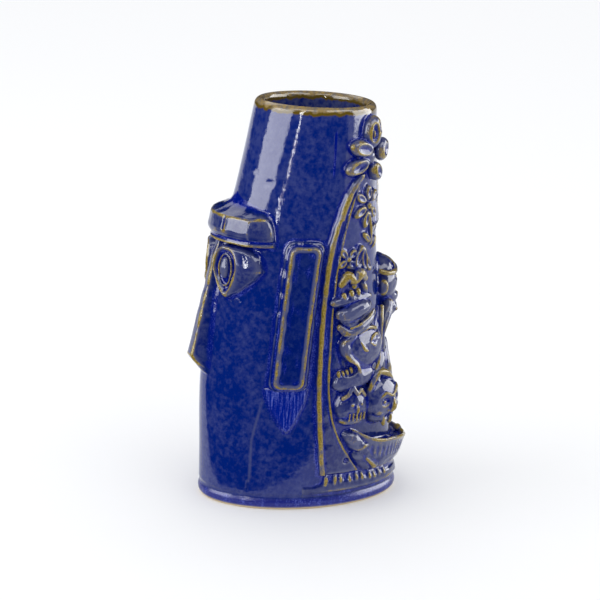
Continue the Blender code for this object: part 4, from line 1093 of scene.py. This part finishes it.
def glaze(name, deep, thin, standing):
    """A glossy reactive glaze: mottled cobalt, bright where it pools, gold-tan where it breaks. On the body the
    pool colour also paints shade down the neck's groove, and the thin glaze's grey paints a highlight along one
    side of the jaw's crease.
    """
    material = bpy.data.materials.new(name)
    material.use_nodes = True
    tree = material.node_tree
    shader = tree.nodes["Principled BSDF"]
    link = tree.links.new

    def node(kind, **values):
        made = tree.nodes.new("ShaderNode" + kind)
        for key, value in values.items():
            if key in made.inputs:
                made.inputs[key].default_value = value
            else:
                setattr(made, key, value)
        return made

    def attribute(key):
        return node("Attribute", attribute_name=key).outputs["Fac"]

    coordinates = node("TexCoord").outputs["Object"]

    def noise(scale, detail, rough, stretch=None):
        made = node("TexNoise", Scale=scale, Detail=detail, Roughness=rough)
        vector = coordinates
        if stretch:
            mapping = node("Mapping", Scale=stretch)
            link(coordinates, mapping.inputs["Vector"])
            vector = mapping.outputs["Vector"]
        link(vector, made.inputs["Vector"])
        return made.outputs["Fac"]

    def feed(made, sockets, values):
        for socket, value in zip(sockets, values):
            if isinstance(value, bpy.types.NodeSocket):
                link(value, socket)
            else:
                socket.default_value = value
        return made.outputs

    def maths(operation, *values):
        made = node("Math", operation=operation)
        return feed(made, made.inputs, values)[0]

    def times(a, b):
        return maths("MULTIPLY", a, b)

    def summed(*terms):
        """The sum of sockets, each times its weight."""
        total = times(*terms[0])
        for term in terms[1:]:
            total = maths("ADD", total, times(*term))
        return total

    def span(value, low, high):
        made = node("MapRange", interpolation_type="SMOOTHSTEP")
        return feed(made, made.inputs, (value, low, high))["Result"]

    def mix(share, a, b):
        made = node("Mix", data_type="RGBA")
        return feed(made, (made.inputs[0], made.inputs[6], made.inputs[7]), (share, a, b))[2]

    breaks, bare, rim = attribute("breaks"), attribute("bare"), attribute("rim")
    mottle = noise(390.0, 5.0, 0.62)
    cloud = noise(75.0, 3.0, 0.55)
    grain = noise(1900.0, 2.0, 0.6)
    runs = noise(260.0, 3.0, 0.6, (1.0, 1.0, 0.25))
    strands = noise(1300.0, 2.0, 0.5, (1.0, 1.0, 0.10))
    # Cobalt with violet-grey clouds.
    parts = node("SeparateXYZ")
    link(coordinates, parts.inputs[0])
    height = parts.outputs["Z"]
    patch = summed((mottle, 0.6), (cloud, 0.4), (span(height, 0.10, 0.17), 0.05))
    colour = mix(times(span(patch, 0.41, 0.67), 0.8), deep, thin)
    colour = mix(times(span(grain, 0.60, 0.80), 0.25), colour, linear(60, 76, 160))
    # The thin glaze on what stands out, and round the edges; on the body the same grey is also a painted
    # highlight along one side of the jaw's crease.
    high = times(times(attribute("stands"), span(mottle, 0.30, 0.72)), standing)
    edges = maths("MAXIMUM", span(breaks, 0.06, 0.50), span(attribute("halo_and_highlight"), 0.05, 0.80))
    thin_glaze_and_highlight = times(maths("MAXIMUM", high, edges), 0.85)
    colour = mix(thin_glaze_and_highlight, colour, mix(grain, linear(68, 75, 116), linear(98, 101, 128)))
    # Pools: saturated, flecked with light specks. On the body the pool colour is also painted shade down the
    # neck's groove.
    flecks = times(span(summed((grain, 0.6), (runs, 0.4)), 0.51, 0.65), 0.75)
    pool_and_shade_colour = mix(flecks, linear(0, 20, 122), linear(84, 98, 196))
    pools_and_shade_share = maths("ADD", attribute("pools_and_shade"), maths("MULTIPLY_ADD", mottle, 0.3, -0.15))
    colour = mix(span(pools_and_shade_share, 0.15, 0.70), colour, pool_and_shade_colour)
    # The run below the ear: bright, with pale upright streaks.
    streak = span(summed((strands, 0.6), (grain, 0.4)), 0.48, 0.70)
    run = mix(streak, linear(0, 27, 132), linear(92, 106, 192))
    colour = mix(times(attribute("drop"), 0.9), colour, run)
    # Gold where the glaze breaks.
    gold = mix(span(grain, 0.35, 0.70), linear(112, 94, 24), linear(164, 143, 76))
    worn = summed((cloud, 1.4), (grain, 0.4), (mottle, 0.8))
    gold_share = span(maths("ADD", breaks, maths("ADD", worn, -1.30)), 0.46, 0.88)
    colour = mix(gold_share, colour, gold)
    # The band at the rim: a brown edge below, grey-tan on the lip.
    band = maths("ADD", rim, maths("MULTIPLY_ADD", runs, 0.8, -0.40))
    lip = mix(span(mottle, 0.40, 0.62), linear(150, 128, 84), linear(112, 104, 96))
    brown = mix(span(band, 0.50, 0.72), linear(94, 76, 22), lip)
    colour = mix(span(band, 0.20, 0.38), colour, brown)
    # The unglazed foot ring.
    colour = mix(bare, colour, mix(grain, linear(206, 184, 146), linear(232, 214, 178)))
    link(colour, shader.inputs["Base Color"])
    # The glaze is satin at the foot and on the gold, and the foot ring is dull.
    satin = times(span(height, 0.0068, 0.0050), 0.22)
    rough = maths("ADD", maths("MULTIPLY_ADD", bare, 0.5, 0.05), satin)
    link(maths("ADD", rough, times(gold_share, 0.05)), shader.inputs["Roughness"])
    shader.inputs["Specular IOR Level"].default_value = 0.5
    # The glaze's skin: a slow ripple and a fine one.
    wave = node("Bump", Strength=0.5, Distance=0.00055)
    link(cloud, wave.inputs["Height"])
    fine = node("Bump", Strength=0.35, Distance=0.00014)
    link(mottle, fine.inputs["Height"])
    link(wave.outputs["Normal"], fine.inputs["Normal"])
    link(fine.outputs["Normal"], shader.inputs["Normal"])
    return material


materials = {
    "glaze_body": glaze("glaze_body", linear(0, 29, 110), linear(56, 66, 124), 1.0),
    "glaze_head": glaze("glaze_head", linear(0, 23, 98), linear(34, 50, 108), 0.8),
    "glaze_relief": glaze("glaze_relief", linear(2, 22, 96), linear(62, 70, 112), 1.0),
}

make_vessel()
for name in SPRIGS:
    make_sprig(name, "glaze_head" if name in HEAD else "glaze_relief")

# ---------------- floor, light and camera


VIEW_AZIMUTH = radians(68.0)
PALE = 0.97
# The seam of the floor: how far ahead of the mug it runs, and its slope.
SEAM_AHEAD, SEAM_SLOPE = 0.070, 0.52


def make_floor():
    """A pale table: the sheet that the mug stands on, and a part in front that the glaze doesn't mirror."""
    ahead = Vector((sin(VIEW_AZIMUTH), -cos(VIEW_AZIMUTH), 0))
    aside = Vector((cos(VIEW_AZIMUTH), sin(VIEW_AZIMUTH), 0))
    edge = (aside + ahead * SEAM_SLOPE).normalized()
    across = (ahead - aside * SEAM_SLOPE).normalized()
    start = ahead * SEAM_AHEAD
    material = bpy.data.materials.new("pale_floor")
    material.use_nodes = True
    shader = material.node_tree.nodes["Principled BSDF"]
    shader.inputs["Base Color"].default_value = (PALE, PALE, PALE, 1.0)
    shader.inputs["Roughness"].default_value = 0.9
    shader.inputs["Specular IOR Level"].default_value = 0.1
    for name, near, far, mirrored in (("floor_sheet", -6.0, 0.0, True), ("floor_front", 0.0, 3.0, False)):
        corners = [start + edge * a + across * b for a, b in ((-5, near), (5, near), (5, far), (-5, far))]
        mesh = bpy.data.meshes.new(name)
        mesh.from_pydata(corners, [], [(0, 1, 2, 3)])
        if mesh.polygons[0].normal.z < 0:
            mesh.flip_normals()
        mesh.materials.append(material)
        floor = bpy.data.objects.new(name, mesh)
        floor.visible_glossy = mirrored
        bpy.context.scene.collection.objects.link(floor)


# Name, azimuth, distance, low and high edge, width, radiance, lean.
PANELS = (
    ("front_panel", 5, 1.1, 0.05, 0.95, 0.86, 7.0),
    ("strip", 46, 1.2, 0.125, 1.00, 0.042, 32.0, -3.0),
    ("back_panel", 168, 1.1, 0.03, 0.90, 1.10, 8.0),
    ("high_panel", 40, 0.9, 1.00, 1.50, 1.00, 5.0),
    ("top_panel", 125, 0.7, 0.70, 1.50, 1.00, 5.0),
    ("left_panel", -72, 0.9, 0.75, 1.35, 0.90, 1.8),
    ("key", -5, 1.3, 0.40, 1.60, 1.10, 1.2, 0.0, True),
)


def softbox(name, azimuth, distance, low, high, width, radiance, lean=0.0, soft=False):
    """An upright panel between two heights that faces the mug; a soft one also lights it evenly."""
    a = radians(azimuth)
    way = Vector((sin(a), -cos(a), 0.0))
    data = bpy.data.lights.new(name, "AREA")
    data.shape = "RECTANGLE"
    data.size, data.size_y = width, high - low
    data.energy = radiance * pi * width * (high - low)
    lamp = bpy.data.objects.new(name, data)
    lamp.location = way * distance + Vector((0, 0, (low + high) / 2))
    lamp.rotation_mode = "QUATERNION"
    upright = Matrix((way.cross(Vector((0, 0, -1))), Vector((0, 0, 1)), way)).transposed()
    lamp.rotation_quaternion = (upright @ Matrix.Rotation(radians(lean), 3, "Z")).to_quaternion()
    lamp.visible_camera = False
    lamp.visible_diffuse = soft
    bpy.context.scene.collection.objects.link(lamp)


def make_light():
    world = bpy.data.worlds.new("studio")
    world.use_nodes = True
    background = world.node_tree.nodes["Background"]
    background.inputs["Color"].default_value = (0.97, 0.98, 1.0, 1.0)
    background.inputs["Strength"].default_value = 1.04
    world.cycles_visibility.glossy = False
    bpy.context.scene.world = world
    for row in PANELS:
        softbox(*row)


def make_camera():
    """Seen from the mug's left and a little in front and above, with the horizon leaning."""
    elevation, roll_angle = radians(15.1), radians(3.0)
    distance, focal, frame_width = 0.79, 1660.0, 600.0
    centre_x, centre_z = 308.1, 297.6
    level = Vector((sin(VIEW_AZIMUTH), -cos(VIEW_AZIMUTH), 0))
    back = level * cos(elevation) + Vector((0, 0, sin(elevation)))
    right = Vector((cos(VIEW_AZIMUTH), sin(VIEW_AZIMUTH), 0))
    up = back.cross(right)
    side = right * cos(roll_angle) + up * sin(roll_angle)
    rise = up * cos(roll_angle) - right * sin(roll_angle)
    turn = Matrix((side, rise, back)).transposed()
    aside = Matrix.Rotation(atan((centre_x - frame_width / 2) / focal), 3, rise)
    tilt = Matrix.Rotation(-atan((frame_width / 2 - centre_z) / focal), 3, side)
    data = bpy.data.cameras.new("camera")
    data.sensor_width = 36.0
    data.lens = focal * data.sensor_width / frame_width
    data.clip_start = 0.01
    data.clip_end = 20.0
    camera = bpy.data.objects.new("camera", data)
    target = Vector((0, AXIS_Y * MM, HEIGHT * MM / 2))
    camera.matrix_world = Matrix.Translation(target + back * distance) @ (aside @ tilt @ turn).to_4x4()
    bpy.context.scene.collection.objects.link(camera)
    bpy.context.scene.camera = camera


make_floor()
make_light()
make_camera()
bpy.context.scene.view_settings.view_transform = "Standard"
